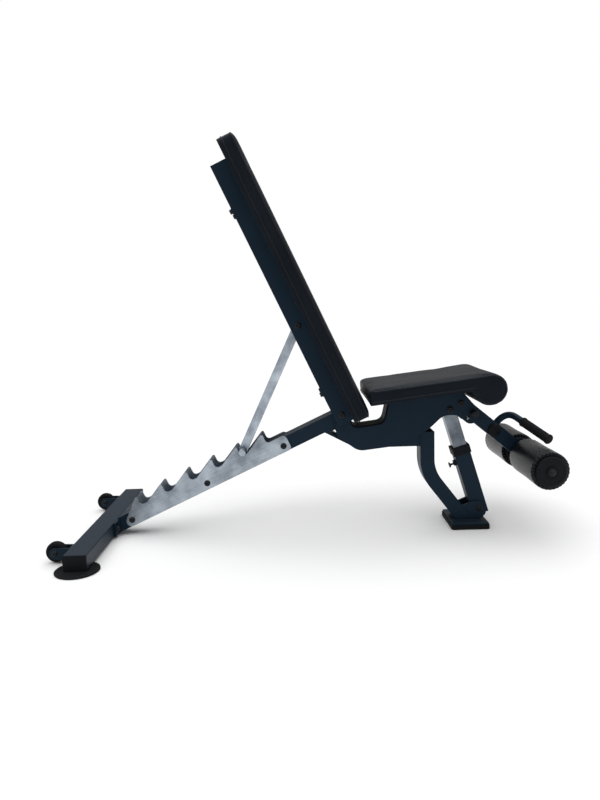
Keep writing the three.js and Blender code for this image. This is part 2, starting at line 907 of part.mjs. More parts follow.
function roundedPanel(x0, x1, halfWidth, z0, z1, radius) {
  const shape = new THREE.Shape();
  traceCorners(
    shape,
    [
      [x0, -halfWidth, radius],
      [x1, -halfWidth, radius],
      [x1, halfWidth, radius],
      [x0, halfWidth, radius],
    ],
    true,
  );
  const g = new THREE.ExtrudeGeometry(shape, { depth: z1 - z0, bevelEnabled: false, curveSegments: 5 });
  return g.translate(0, 0, z0);
}

const boardTop = boardLift + boardThick;

function seatBoard() {
  return roundedPanel(boardRear, boardFront, boardHalfWidth, boardLift, boardTop, 18);
}

// The seat cushion, with a roll along its front edge.
function seatCushion() {
  const low = boardTop + touchGap;
  const rollW = seatTop - seatRollRadius;
  const meet = Math.asin((low - rollW) / seatRollRadius);
  const shape = new THREE.Shape();
  shape.moveTo(seatRear, low);
  shape.lineTo(seatRollCentre - seatRollRadius * Math.cos(meet), low);
  shape.absarc(seatRollCentre, rollW, seatRollRadius, Math.PI - meet, Math.PI * 2.5, false);
  shape.lineTo(seatRear + 10, seatTop);
  shape.absarc(seatRear + 10, seatTop - 10, 10, Math.PI / 2, Math.PI, false);
  shape.closePath();
  return slab(shape, -padHalfWidth, padHalfWidth, 14);
}

for (const [label, side] of sides) {
  add(seat, "side_plate_" + label, sidePlate(side), framePaint);
}
add(seat, "notch_strip", notchStrip(), blackPlastic);
add(seat, "seat_strap_rear", seatStrap(170), framePaint);
add(seat, "seat_strap_front", seatStrap(315), framePaint);
add(seat, "seat_board", seatBoard(), blackPlastic);
add(seat, "seat_pad", seatCushion(), vinyl);
add(seat, "post_upper_bolt", pivotBolt(carriageOuter, postPivotU, postPivotW), blackSteel);
add(seat, "arm_pivot_bolt", pivotBolt(carriageOuter, armPivotU, armPivotW), blackSteel);

// The pull pin that locks the leg arm, on the near side plate.
function armLockPin() {
  const lock = lockHole(0);
  const face = -carriageOuter - touchGap;
  return turned(
    [
      [0, face - 24],
      [8, face - 24],
      [10.5, face - 22],
      [10.5, face - 14],
      [8, face - 12],
      [8, face],
      [lockPinRadius, face],
      [lockPinRadius, -armHalfWidth - 1],
      [0, -armHalfWidth - 1],
    ],
    lock.u,
    lock.w,
  );
}

add(seat, "arm_lock_pin", armLockPin(), blackSteel);

// ---------------------------------------------------------------- leg arm, rollers and handle

// The rear end of the arm is cut back so that it clears the post in every position of its swing.
function armReliefs() {
  const reach = armToPost - postInnerSide / 2 - runningGap;
  return [0, armDrop / 2, armDrop].map((drop) =>
    box(-beyond, -reach, -through, through, -beyond, beyond).rotateY(-radians(armAngle + drop) - postLean),
  );
}

function legArm() {
  const h = armHeight / 2;
  const outer = slab(rectangle(-armTail, -h, armLength, h, 3), -armHalfWidth, armHalfWidth, 2);
  const sleeve = rod(axleSleeveRadius, -armHalfWidth, armHalfWidth, armLength, 0, 24);
  const bore = box(
    -armTail - 1,
    armLength - axleSleeveRadius - 2,
    -armHalfWidth + armWall,
    armHalfWidth - armWall,
    -h + armWall,
    h - armWall,
  );
  const upright = rod(handleRadius + touchGap, 0, through, 0, 0).rotateX(Math.PI / 2);
  const socket = upright.translate(handleAlong, 0, 0);
  return cut(
    join(cut(outer, bore), sleeve),
    rod(rollerAxleRadius + boltGap, -through, through, armLength, 0, 24),
    rod(pivotBoltRadius + boltGap, -through, through, 0, 0),
    rod(lockPinRadius + boltGap, -through, through, lockPinReach, 0),
    rod(handleBoltRadius + boltGap, -through, through, handleAlong, 0),
    socket,
    ...armReliefs(),
  );
}

function rollerAxle() {
  const nutFace = rollerHalfSpan + touchGap;
  const r = rollerAxleRadius;
  return turned(
    [
      [0, -nutFace - 9],
      [5, -nutFace - 8],
      [r + 1, -nutFace - 3],
      [r + 1, -nutFace],
      [r, -nutFace],
      [r, nutFace],
      [r + 1, nutFace],
      [r + 1, nutFace + 3],
      [5, nutFace + 8],
      [0, nutFace + 9],
    ],
    armLength,
    0,
  );
}

// Socket depth, rise, bend and splayed reach of the handle pipe.
function handlePath() {
  const top = armHeight / 2 + handleRise;
  const a = radians(handleSplay);
  const level = (t) => new THREE.Vector3(handleAlong + t * Math.sin(a), -t * Math.cos(a), top);
  const path = new THREE.CurvePath();
  const foot = new THREE.Vector3(handleAlong, 0, 2 - armHeight / 2 + armWall);
  const kneeLow = new THREE.Vector3(handleAlong, 0, top - handleBend);
  const knee = new THREE.Vector3(handleAlong, 0, top);
  path.add(new THREE.LineCurve3(foot, kneeLow));
  path.add(new THREE.QuadraticBezierCurve3(kneeLow, knee, level(handleBend)));
  path.add(new THREE.LineCurve3(level(handleBend), level(handleReach)));
  return path;
}

function circleShape(radius, segments) {
  const points = [];
  for (let i = 0; i < segments; i++) {
    const a = (i / segments) * 2 * Math.PI;
    points.push(new THREE.Vector2(radius * Math.cos(a), radius * Math.sin(a)));
  }
  return new THREE.Shape(points);
}

function handlePipe() {
  const pipe = new THREE.ExtrudeGeometry(circleShape(handleRadius, 12), {
    steps: 24,
    extrudePath: handlePath(),
    bevelEnabled: false,
  });
  return cut(pipe, rod(handleBoltRadius + boltGap, -through, through, handleAlong, 0));
}

function handleGrip() {
  const bore = handleRadius + touchGap;
  const end = gripStart + gripLength;
  const g = turned(
    [
      [bore, gripStart],
      [gripRadius + 1.5, gripStart],
      [gripRadius + 1.5, gripStart + 4],
      [gripRadius, gripStart + 5],
      [gripRadius, end - 6],
      [gripFlangeRadius, end - 5],
      [gripFlangeRadius, end - 1],
      [gripFlangeRadius - 2, end],
      [0, end],
      [0, handleReach + touchGap],
      [bore, handleReach + touchGap],
      [bore, gripStart],
    ],
    0,
    0,
    20,
  );
  return g
    .rotateZ(Math.PI + radians(handleSplay))
    .translate(handleAlong, 0, armHeight / 2 + handleRise);
}

// Domed cap and cross bolt that hold the handle's foot in the arm.
function handleBolt() {
  const face = armHalfWidth + touchGap;
  return turned(
    [
      [0, -face - 9],
      [8, -face - 8],
      [16, -face - 5],
      [19, -face],
      [handleBoltRadius, -face],
      [handleBoltRadius, face],
      [8, face],
      [8, face + 5],
      [0, face + 5],
    ],
    handleAlong,
    0,
    20,
  );
}

add(arm, "leg_arm", legArm(), framePaint);
add(arm, "roller_axle", rollerAxle(), blackSteel);
add(arm, "handle_pipe", handlePipe(), framePaint);
add(arm, "handle_grip", handleGrip(), rubber);
add(arm, "handle_bolt", handleBolt(), blackPlastic);

const rollerBore = rollerAxleRadius + rollerBoreGap;
const rollerInner = armHalfWidth + runningGap;

function washer(radius, y0, y1) {
  return turned(
    [
      [rollerBore, y0],
      [radius, y0],
      [radius, y1],
      [rollerBore, y1],
      [rollerBore, y0],
    ],
    armLength,
    0,
    28,
  );
}

function rollerPiece(radius, side, y0, y1) {
  return washer(radius, Math.min(side * y0, side * y1), Math.max(side * y0, side * y1));
}

for (const [label, side] of sides) {
  const foam0 = rollerInner + rollerInnerThick + touchGap;
  const foam1 = rollerHalfSpan - rollerCapThick - touchGap;
  add(arm, "roller_foam_" + label, rollerPiece(rollerRadius, side, foam0, foam1), vinyl);
  const cap = rollerPiece(rollerCapRadius, side, foam1 + touchGap, rollerHalfSpan);
  add(arm, "roller_cap_" + label, cap, blackPlastic);
  const inner = rollerPiece(rollerCapRadius, side, rollerInner, foam0 - touchGap);
  add(arm, "roller_inner_cap_" + label, inner, blackPlastic);
}

// ---------------------------------------------------------------- backrest

const backHalfDepth = backTubeDepth / 2;

function backrestFrame() {
  const pieces = [];
  for (const [, side] of sides) {
    const shape = rectangle(-backHalfDepth, -backTubeTail, backHalfDepth, backTubeTop, 0);
    pieces.push(sideSlab(shape, side, backInner, backOuter));
  }
  const bars = backBarCentres.map((z) =>
    box(
      backHalfDepth - backBarThick,
      backHalfDepth,
      -backInner - 1,
      backInner + 1,
      z - backBarHeight / 2,
      z + backBarHeight / 2,
    ),
  );
  const wall = backTubeWall;
  const bores = sides.map(([, side]) =>
    sideSlab(
      rectangle(-backHalfDepth + wall, -backTubeTail - 1, backHalfDepth - wall, backTubeTop + 1),
      side,
      backInner + wall,
      backOuter - wall,
    ),
  );
  return cut(
    join(pieces[0], pieces[1], ...bars),
    ...bores,
    rod(axleRadius + boltGap, -through, through, 0, 0),
    rod(pivotBoltRadius + boltGap, -through, through, 0, strutPivotUp),
  );
}

// A flat panel of the backrest: from x0 to x1 forwards, with rounded corners.
function backPanel(x0, x1, inset) {
  const shape = new THREE.Shape();
  const h = padHalfWidth - inset;
  const r = 20;
  traceCorners(
    shape,
    [
      [backPadBottom + inset, -h, r],
      [backPadTop - inset, -h, r],
      [backPadTop - inset, h, r],
      [backPadBottom + inset, h, r],
    ],
    true,
  );
  const g = new THREE.ExtrudeGeometry(shape, { depth: x1 - x0, bevelEnabled: false, curveSegments: 5 });
  return g.rotateY(-Math.PI / 2).translate(x1, 0, 0);
}

const shellRear = backHalfDepth + touchGap;
const shellFront = shellRear + backShellThick;

function backPad() {
  const x0 = shellFront + touchGap;
  return backPanel(x0, x0 + backPadThick, 0);
}

add(back, "backrest_frame", backrestFrame(), framePaint);
add(back, "backrest_shell", backPanel(shellRear, shellFront, 2), blackPlastic);
add(back, "backrest_pad", backPad(), vinyl);
add(back, "strut_bolt", pivotBolt(backOuter, 0, strutPivotUp), blackSteel);

// ---------------------------------------------------------------- strut

// A rectangular tube whose ends are rounded about its two pivots.
function strutTube() {
  const half = strutWidth / 2;
  const r = strutDepth / 2;
  const ends = outline([
    [-r, -r, r - 0.01],
    [r, -r, r - 0.01],
    [r, strutLength + r, r - 0.01],
    [-r, strutLength + r, r - 0.01],
  ]);
  const inner = r - strutWall;
  return cut(
    slab(ends, -half, half, 5),
    box(-inner, inner, -half + strutWall, half - strutWall, -through, strutLength + through),
    rod(strutPinRadius + boltGap, -through, through, 0, 0, 24),
    rod(pivotBoltRadius + boltGap, -through, through, 0, strutLength),
  );
}

function strutPin() {
  return rod(strutPinRadius, -ladderInner + runningGap, ladderInner - runningGap, 0, 0, 24);
}

add(strut, "strut_tube", strutTube(), zincPlate);
add(strut, "strut_pin", strutPin(), zincPlate);

export default bench;
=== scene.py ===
import json
import math

import bmesh
import bpy
import numpy as np
from mathutils import Matrix, Vector
from mathutils.bvhtree import BVHTree

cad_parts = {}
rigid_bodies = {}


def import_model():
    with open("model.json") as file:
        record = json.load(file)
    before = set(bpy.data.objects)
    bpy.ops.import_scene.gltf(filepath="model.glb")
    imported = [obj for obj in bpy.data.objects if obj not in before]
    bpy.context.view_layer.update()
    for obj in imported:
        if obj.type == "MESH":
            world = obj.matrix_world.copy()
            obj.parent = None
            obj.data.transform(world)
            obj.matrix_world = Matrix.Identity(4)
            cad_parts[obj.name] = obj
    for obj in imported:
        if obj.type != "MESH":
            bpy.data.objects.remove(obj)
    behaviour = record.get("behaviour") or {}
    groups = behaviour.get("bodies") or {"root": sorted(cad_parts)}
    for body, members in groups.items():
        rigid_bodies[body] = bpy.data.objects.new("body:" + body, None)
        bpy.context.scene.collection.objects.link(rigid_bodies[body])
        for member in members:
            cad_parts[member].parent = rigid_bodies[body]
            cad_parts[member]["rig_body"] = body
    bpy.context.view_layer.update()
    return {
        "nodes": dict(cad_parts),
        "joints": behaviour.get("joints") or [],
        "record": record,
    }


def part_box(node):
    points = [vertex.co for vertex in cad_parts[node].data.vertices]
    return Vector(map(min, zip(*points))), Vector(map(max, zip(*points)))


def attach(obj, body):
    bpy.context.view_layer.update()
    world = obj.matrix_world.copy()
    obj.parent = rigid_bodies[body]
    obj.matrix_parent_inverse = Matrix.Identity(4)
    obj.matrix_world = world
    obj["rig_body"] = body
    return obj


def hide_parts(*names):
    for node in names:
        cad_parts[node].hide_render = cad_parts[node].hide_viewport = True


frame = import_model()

# Ladder frame, crossbar, legs, seat plates and the arm: welded steel tube and plate, powder coated a dark
# blue-grey. The coat has a fine orange peel, lies thinner on the edges, and carries a little dust on top.
COAT_COLOUR = (0.0050, 0.0120, 0.0215, 1)
COAT_EDGE_COLOUR = (0.020, 0.034, 0.052, 1)
COAT_DUST_COLOUR = (0.040, 0.045, 0.055, 1)
PAINTED_NODES = [
    "rear_crossbar", "wheel_bracket_near", "wheel_bracket_far", "main_tube", "spine_link", "lower_tube",
    "front_leg", "foot_plate", "post_ear_near", "post_ear_far", "post_outer_tube", "side_plate_near",
    "side_plate_far", "seat_strap_rear", "seat_strap_front", "leg_arm", "backrest_frame",
]


def put(tree, kind, props=None, **inputs):
    """Adds one shader node; an input is given by its name, or as _0, _1 by its place."""
    node = tree.nodes.new(kind)
    for key, value in (props or {}).items():
        setattr(node, key, value)
    for key, value in inputs.items():
        by_place = key[0] == "_" and key[1:].isdigit()
        socket = node.inputs[int(key[1:])] if by_place else node.inputs[key.replace("_", " ")]
        if isinstance(value, bpy.types.NodeSocket):
            tree.links.new(value, socket)
        else:
            socket.default_value = value
    return node


def effect(name, inputs, outputs, build):
    """A node group whose build(tree, given) returns the socket for each output, in order."""
    tree = bpy.data.node_groups.new(name, "ShaderNodeTree")
    for label, kind, value in inputs:
        socket = tree.interface.new_socket(label, in_out="INPUT", socket_type=kind)
        if value is not None:
            socket.default_value = value
    for label, kind in outputs:
        tree.interface.new_socket(label, in_out="OUTPUT", socket_type=kind)
    given = tree.nodes.new("NodeGroupInput")
    result = tree.nodes.new("NodeGroupOutput")
    for place, socket in enumerate(build(tree, given)):
        tree.links.new(socket, result.inputs[place])
    return tree


def ramp(tree, value, low, high):
    """A value stretched so that low becomes 0 and high becomes 1, and clamped between them."""
    return put(tree, "ShaderNodeMapRange", Value=value, From_Min=low, From_Max=high).outputs[0]


def blend_colour(tree, share, first, second):
    """Two colours mixed by a share from 0 to 1."""
    node = put(tree, "ShaderNodeMix", {"data_type": "RGBA"})
    for place, value in ((0, share), (6, first), (7, second)):
        if isinstance(value, bpy.types.NodeSocket):
            tree.links.new(value, node.inputs[place])
        else:
            node.inputs[place].default_value = value
    return node.outputs[2]


def noise(tree, vector, scale, detail=2.0, roughness=0.5):
    """The value of a cloudy noise at a place."""
    node = put(tree, "ShaderNodeTexNoise", Vector=vector, Scale=scale, Detail=detail, Roughness=roughness)
    return node.outputs[0]


def scaled(tree, value, factor, added=0.0):
    """A value times a factor, plus another value."""
    node = put(tree, "ShaderNodeMath", {"operation": "MULTIPLY_ADD"}, _0=value, _1=factor, _2=added)
    return node.outputs[0]


def soft_edges(tree, given):
    """The normal rounded over the edges, and a mask that is 1 where that rounding bends it most."""
    bevel = put(tree, "ShaderNodeBevel", {"samples": 4}, Radius=given.outputs["Radius"])
    flat = put(tree, "ShaderNodeNewGeometry").outputs["True Normal"]
    dot = put(tree, "ShaderNodeVectorMath", {"operation": "DOT_PRODUCT"}, _0=bevel.outputs[0], _1=flat)
    return [bevel.outputs[0], ramp(tree, dot.outputs["Value"], 0.985, 0.80)]


def powder_coat(tree, given):
    """Mottled colour, worn edges, dust on faces that look up, and orange peel as height."""
    place = put(tree, "ShaderNodeTexCoord").outputs["Object"]
    broad = noise(tree, place, 9.0, 3.0)
    fine = noise(tree, place, 900.0, 1.0)
    peel = noise(tree, place, 420.0, 1.0)
    mottle = ramp(tree, broad, 0.3, 0.7)
    mottled = blend_colour(tree, mottle, given.outputs["Colour"], given.outputs["Colour Far"])
    facing = put(tree, "ShaderNodeNewGeometry").outputs["Normal"]
    up = put(tree, "ShaderNodeSeparateXYZ", _0=facing).outputs[2]
    dusty = scaled(tree, ramp(tree, up, 0.55, 1.0), 0.45)
    patchy = scaled(tree, dusty, ramp(tree, noise(tree, place, 26.0, 5.0), 0.25, 0.75))
    dust = blend_colour(tree, patchy, mottled, given.outputs["Dust"])
    rubbed = ramp(tree, noise(tree, place, 60.0, 3.0), 0.35, 0.75)
    worn = scaled(tree, given.outputs["Edge Mask"], rubbed)
    colour = blend_colour(tree, worn, dust, given.outputs["Edge"])
    rough = scaled(tree, broad, 0.14, given.outputs["Rough"])
    rougher = scaled(tree, patchy, 0.4, rough)
    height = scaled(tree, fine, 0.3, peel)
    return [colour, rougher, height]


EDGES = effect(
    "soft edges", [("Radius", "NodeSocketFloat", 0.0015)],
    [("Normal", "NodeSocketVector"), ("Mask", "NodeSocketFloat")], soft_edges,
)
COAT = effect(
    "powder coat",
    [("Colour", "NodeSocketColor", None), ("Colour Far", "NodeSocketColor", None),
     ("Edge", "NodeSocketColor", None), ("Dust", "NodeSocketColor", None),
     ("Edge Mask", "NodeSocketFloat", 0.0), ("Rough", "NodeSocketFloat", 0.36)],
    [("Colour", "NodeSocketColor"), ("Roughness", "NodeSocketFloat"), ("Height", "NodeSocketFloat")],
    powder_coat,
)


def new_material(name, colour, **shader):
    """A material with one Principled shader; its steady values sit on the shader's own sockets."""
    material = bpy.data.materials.new(name)
    material.use_nodes = True
    material.diffuse_color = colour
    principled = material.node_tree.nodes["Principled BSDF"]
    principled.inputs["Base Color"].default_value = colour
    for key, value in shader.items():
        principled.inputs[key.replace("_", " ")].default_value = value
    return material, material.node_tree, principled


def use_group(tree, group, **inputs):
    """Places a node group in a material, with its own values."""
    return put(tree, "ShaderNodeGroup", {"node_tree": group}, **inputs)


def rounded_bump(tree, principled, height, strength, distance, radius=0.0015):
    """Joins the softened edges with a bump of the given height, and returns the edge mask."""
    edge = use_group(tree, EDGES, Radius=radius)
    bump = put(
        tree, "ShaderNodeBump", Height=height, Strength=strength, Distance=distance,
        Normal=edge.outputs["Normal"],
    )
    tree.links.new(bump.outputs[0], principled.inputs["Normal"])
    return edge.outputs["Mask"]


def coated(name, colour, edge_colour, dust_colour, rough=0.36, **shader):
    """A textured coat, a little lighter in its mottling, with its own edge and dust colours."""
    material, tree, principled = new_material(name, colour, **shader)
    far = tuple(c * 1.25 for c in colour[:3]) + (1,)
    group = use_group(
        tree, COAT, Colour=colour, Colour_Far=far, Edge=edge_colour, Dust=dust_colour, Rough=rough,
    )
    tree.links.new(group.outputs["Colour"], principled.inputs["Base Color"])
    tree.links.new(group.outputs["Roughness"], principled.inputs["Roughness"])
    mask = rounded_bump(tree, principled, group.outputs["Height"], 0.16, 0.0004)
    tree.links.new(mask, group.inputs["Edge Mask"])
    return material


frame_paint = coated(
    "blue-grey powder coat", COAT_COLOUR, COAT_EDGE_COLOUR, COAT_DUST_COLOUR,
    Specular_IOR_Level=0.16, Specular_Tint=(0.60, 0.80, 1.0, 1),
)


def dress(nodes, material):
    """Gives CAD nodes their finished material."""
    for node in nodes:
        piece = frame["nodes"][node]
        piece.data.materials.clear()
        piece.data.materials.append(material)


dress(PAINTED_NODES, frame_paint)


# Toothed ladder plates, strut and inner post tube: cut from steel, brushed along their length and zinc
# plated. The plating is bluish and a little cloudy.
ZINC_LIGHT = (0.56, 0.63, 0.70, 1)
ZINC_DARK = (0.16, 0.185, 0.225, 1)
GRAIN_ACROSS = 950.0
GRAIN_ALONG = 9.0
records = {joint["name"]: joint for joint in frame["joints"]}
mounts = {mount["name"]: mount for mount in frame["record"]["mounts"]}
ladder_low = np.array(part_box("ladder_bolt_1")).mean(0)
ladder_high = np.array(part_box("ladder_bolt_3")).mean(0)
strut_head = np.array(records["strut_swing"]["pos_m"])
strut_foot = np.array(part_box("strut_pin")).mean(0)
post_up = np.array(records["post_slide"]["axis"])


def brushed(tree, given):
    """Streaks drawn out along one direction over a slow cloudy change of tone."""
    place = put(tree, "ShaderNodeTexCoord").outputs["Object"]
    turned = put(
        tree, "ShaderNodeVectorRotate", {"rotation_type": "Y_AXIS"},
        Vector=place, Angle=given.outputs["Turn"],
    ).outputs[0]
    drawn = put(
        tree, "ShaderNodeVectorMath", {"operation": "MULTIPLY"},
        _0=turned, _1=(GRAIN_ALONG, GRAIN_ACROSS, GRAIN_ACROSS),
    ).outputs[0]
    streak = noise(tree, drawn, 1.0, 3.0, 0.6)
    cloud = noise(tree, place, 17.0, 4.0, 0.6)
    mixed = scaled(tree, streak, 0.45, cloud)
    colour = blend_colour(tree, ramp(tree, mixed, 0.48, 0.98), given.outputs["Dark"], given.outputs["Light"])
    rough = put(tree, "ShaderNodeMapRange", Value=streak, To_Min=0.24, To_Max=0.42).outputs[0]
    return [colour, rough, streak]


BRUSHED = effect(
    "brushed zinc",
    [("Turn", "NodeSocketFloat", 0.0), ("Light", "NodeSocketColor", None), ("Dark", "NodeSocketColor", None)],
    [("Colour", "NodeSocketColor"), ("Roughness", "NodeSocketFloat"), ("Height", "NodeSocketFloat")],
    brushed,
)


def zinc_along(name, direction, share=1.0):
    """Zinc whose brushing runs along a direction in the X and Z plane, its colours dimmed to a share."""
    light, dark = ([c * share for c in colour[:3]] + [1] for colour in (ZINC_LIGHT, ZINC_DARK))
    material, tree, principled = new_material(name, ZINC_LIGHT, Metallic=1.0)
    turn = math.atan2(direction[2], direction[0])
    group = use_group(tree, BRUSHED, Turn=turn, Light=light, Dark=dark)
    tree.links.new(group.outputs["Colour"], principled.inputs["Base Color"])
    tree.links.new(group.outputs["Roughness"], principled.inputs["Roughness"])
    rounded_bump(tree, principled, group.outputs["Height"], 0.12, 0.0002, 0.0012)
    return material


zinc_ladder = zinc_along("zinc, brushed along the ladder", ladder_high - ladder_low, 0.85)
zinc_strut = zinc_along("zinc, brushed along the strut", strut_head - strut_foot)
dress(["ladder_plate_near", "ladder_plate_far"], zinc_ladder)
dress(["strut_tube"], zinc_strut)
dress(["post_inner_tube"], zinc_along("zinc, brushed along the post", post_up, 0.42))


# Tube end caps, collar and the backs of the cushions: moulded black plastic, and board covered in black
# cloth.
# Both are finely textured and matt, and pick up a little dust. The notch strip is a bent steel plate; it is
# given the black plastic as painted shade, for the shadow that falls on it under the pad.
MATT_BLACK = (0.0036, 0.0044, 0.0062, 1)
MATT_EDGE_COLOUR = (0.008, 0.009, 0.011, 1)
MATT_DUST_COLOUR = (0.012, 0.013, 0.015, 1)
MATT_ROUGHNESS = 0.52
black_plastic = coated(
    "black plastic", MATT_BLACK, MATT_EDGE_COLOUR, MATT_DUST_COLOUR, MATT_ROUGHNESS, Specular_IOR_Level=0.12,
)
board_cover = coated(
    "board covering", MATT_BLACK, MATT_EDGE_COLOUR, MATT_DUST_COLOUR, MATT_ROUGHNESS, Specular_IOR_Level=0.12,
)
# The notch strip's black is painted shade: it is steel, in the shadow under the pad.
dress(["crossbar_cap_near", "crossbar_cap_far", "post_collar", "notch_strip"], black_plastic)
dress(["backrest_shell", "seat_board"], board_cover)


# Front foot: a moulded black rubber boot under the foot plate. Rubber is matt and faintly grainy.
RUBBER_COLOUR = (0.0038, 0.0042, 0.0050, 1)
RUBBER_EDGE_COLOUR = (0.009, 0.0095, 0.0105, 1)
RUBBER_DUST_COLOUR = (0.016, 0.017, 0.019, 1)
RUBBER_ROUGHNESS = 0.62
rubber = coated(
    "black rubber", RUBBER_COLOUR, RUBBER_EDGE_COLOUR, RUBBER_DUST_COLOUR, RUBBER_ROUGHNESS,
    Specular_IOR_Level=0.12,
)
dress(["foot_rubber"], rubber)


# Bolts: black zinc-flake coated steel, each a round head on a washer at both ends of a plain shaft, with a
# hexagon socket in the head. They are pushed through the joined parts and tightened.
STEEL_COLOUR = (0.0085, 0.0095, 0.0115, 1)
STEEL_EDGE_COLOUR = (0.06, 0.062, 0.066, 1)
STEEL_DUST_COLOUR = (0.025, 0.026, 0.028, 1)
HEAD_DEPTH = 0.006
SHAFT_SHARE = 0.6
FLANGE_HEAD_RADIUS = 0.0095
FLANGE_SHAFT_RADIUS = 0.005
FLANGE_HEAD_DEPTH = 0.0072
FLANGE_REAR_HEAD = 0.008
FLANGE_FRONT_HEAD = 0.0075
CROSS_BOLTS = [
    "wheel_bolt_near", "wheel_bolt_far", "ladder_bolt_1", "ladder_bolt_2", "ladder_bolt_3", "post_lower_bolt",
    "main_axle", "strut_bolt", "post_upper_bolt", "arm_pivot_bolt",
]
black_steel = coated(
    "black steel", STEEL_COLOUR, STEEL_EDGE_COLOUR, STEEL_DUST_COLOUR, Metallic=0.15, Specular_IOR_Level=0.20,
)


def softened(profile, radius, steps=4):
    """The corners of a line of points rounded off: each corner becomes the quadratic curve that starts and
    ends at most radius away from it along its two sides. The two end points stay."""
    p = np.asarray(profile, float)
    inner, before, after = p[1:-1], p[:-2], p[2:]
    to_before, to_after = before - inner, after - inner
    len_before = np.linalg.norm(to_before, axis=1, keepdims=True)
    len_after = np.linalg.norm(to_after, axis=1, keepdims=True)
    start = inner + to_before / len_before * np.minimum(radius, len_before * 0.45)
    end = inner + to_after / len_after * np.minimum(radius, len_after * 0.45)
    t = np.linspace(0, 1, steps)[None, :, None]
    curve = (1 - t) ** 2 * start[:, None] + 2 * t * (1 - t) * inner[:, None] + t ** 2 * end[:, None]
    return np.vstack([p[:1], curve.reshape(-1, p.shape[1]), p[-1:]])


def grid_faces(rows, columns, wrap_rows, wrap_columns):
    """Four-cornered faces over a grid of points that may join up with itself in either direction."""
    i = np.arange(rows if wrap_rows else rows - 1)[:, None]
    j = np.arange(columns if wrap_columns else columns - 1)[None, :]
    i1, j1 = (i + 1) % rows, (j + 1) % columns
    corners = [i * columns + j, i * columns + j1, i1 * columns + j1, i1 * columns + j]
    return np.stack([np.broadcast_to(c, (i.shape[0], j.shape[1])) for c in corners], -1).reshape(-1, 4)


def new_piece(name, points, faces, material, sharp=35.0):
    """Turns points and faces into a smooth shaded object whose faces look outwards."""
    mesh = bpy.data.meshes.new(name)
    mesh.from_pydata([tuple(p) for p in points.tolist()], [], faces)
    work = bmesh.new()
    work.from_mesh(mesh)
    bmesh.ops.remove_doubles(work, verts=work.verts, dist=1e-6)
    bmesh.ops.recalc_face_normals(work, faces=work.faces)
    if work.calc_volume(signed=True) < 0:
        bmesh.ops.reverse_faces(work, faces=work.faces)
    work.to_mesh(mesh)
    work.free()
    mesh.shade_smooth()
    mesh.set_sharp_from_angle(angle=math.radians(sharp))
    mesh.materials.append(material)
    piece = bpy.data.objects.new(name, mesh)
    bpy.context.scene.collection.objects.link(piece)
    return piece


def axes_about(direction):
    """Two unit vectors at right angles to a direction and to each other."""
    d = np.asarray(direction, float)
    d = d / np.linalg.norm(d)
    other = np.array([0.0, 0.0, 1.0]) if abs(d[2]) < 0.9 else np.array([1.0, 0.0, 0.0])
    across = np.cross(other, d)
    across /= np.linalg.norm(across)
    return d, across, np.cross(d, across)


def revolved(name, profile, origin, direction, material, segments=48, ring=False, ripple=None, sharp=35.0):
    """A profile of [radius, height] turned about a line: point = origin + height * axis + radius * (cos a
    across + sin a over). A ring's profile joins its own end; any other starts and ends on the axis."""
    p = np.asarray(profile, float)
    d, across, over = axes_about(direction)
    a = np.linspace(0, 2 * np.pi, segments, endpoint=False)
    spoke = np.cos(a)[:, None] * across + np.sin(a)[:, None] * over
    r = np.repeat(p[:, :1], segments, 1)
    height = np.repeat(p[:, 1:], segments, 1)
    if ripple is not None:
        outwards, upwards = ripple(p[:, :1], p[:, 1:], a[None, :])
        r, height = r + outwards, height + upwards
    points = np.asarray(origin) + height[..., None] * d + r[..., None] * spoke[None]
    faces = grid_faces(len(p), segments, ring, True).tolist()
    points = points.reshape(-1, 3)
    return new_piece(name, points, faces, material, sharp)


def bolt_profile(head, shaft, low, high, depth):
    """Half the outline of a bolt: socket, domed head and washer at each end of the shaft."""
    end = [
        [0, depth - 0.0032], [head * 0.30, depth - 0.0028], [head * 0.34, depth - 0.0002],
        [head * 0.56, depth], [head * 0.78, depth * 0.68], [head * 0.84, depth * 0.26],
        [head, depth * 0.24], [head, 0], [shaft, 0],
    ]
    first = [[r, low - h] for r, h in end]
    last = [[r, high + h] for r, h in reversed(end)]
    return softened(first + last, 0.0006, 3)


for node in CROSS_BOLTS:
    low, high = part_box(node)
    centre = (low + high) / 2
    head = (high.z - low.z) / 2
    profile = bolt_profile(head, head * SHAFT_SHARE, low.y + HEAD_DEPTH, high.y - HEAD_DEPTH, HEAD_DEPTH)
    bolt = revolved(node + "_finished", profile, (centre.x, 0, centre.z), (0, 1, 0), black_steel, 40)
    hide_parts(node)
    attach(bolt, frame["nodes"][node]["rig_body"])
for node in ("flange_bolt_near", "flange_bolt_far"):
    low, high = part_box(node)
    centre = (low + high) / 2
    profile = bolt_profile(
        FLANGE_HEAD_RADIUS, FLANGE_SHAFT_RADIUS, low.x + FLANGE_REAR_HEAD, high.x - FLANGE_FRONT_HEAD,
        FLANGE_HEAD_DEPTH,
    )
    bolt = revolved(node + "_finished", profile, (0, centre.y, centre.z), (1, 0, 0), black_steel, 40)
    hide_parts(node)
    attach(bolt, "base")


# Strut pin: a zinc plated steel bar welded across the strut's foot. Its two ends stand out past the ladder
# plates and drop into a pair of notches.
PIN_RADIUS = 0.0098
PIN_HALF_LENGTH = 0.0545
pin_profile = softened(
    [[0, -PIN_HALF_LENGTH], [PIN_RADIUS, -PIN_HALF_LENGTH],
     [PIN_RADIUS, PIN_HALF_LENGTH], [0, PIN_HALF_LENGTH]],
    0.0012, 4,
)
pin_middle = (strut_foot[0], 0, strut_foot[2])
pin = revolved("strut_pin_finished", pin_profile, pin_middle, (0, 1, 0), zinc_strut, 40)
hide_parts("strut_pin")
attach(pin, "strut")


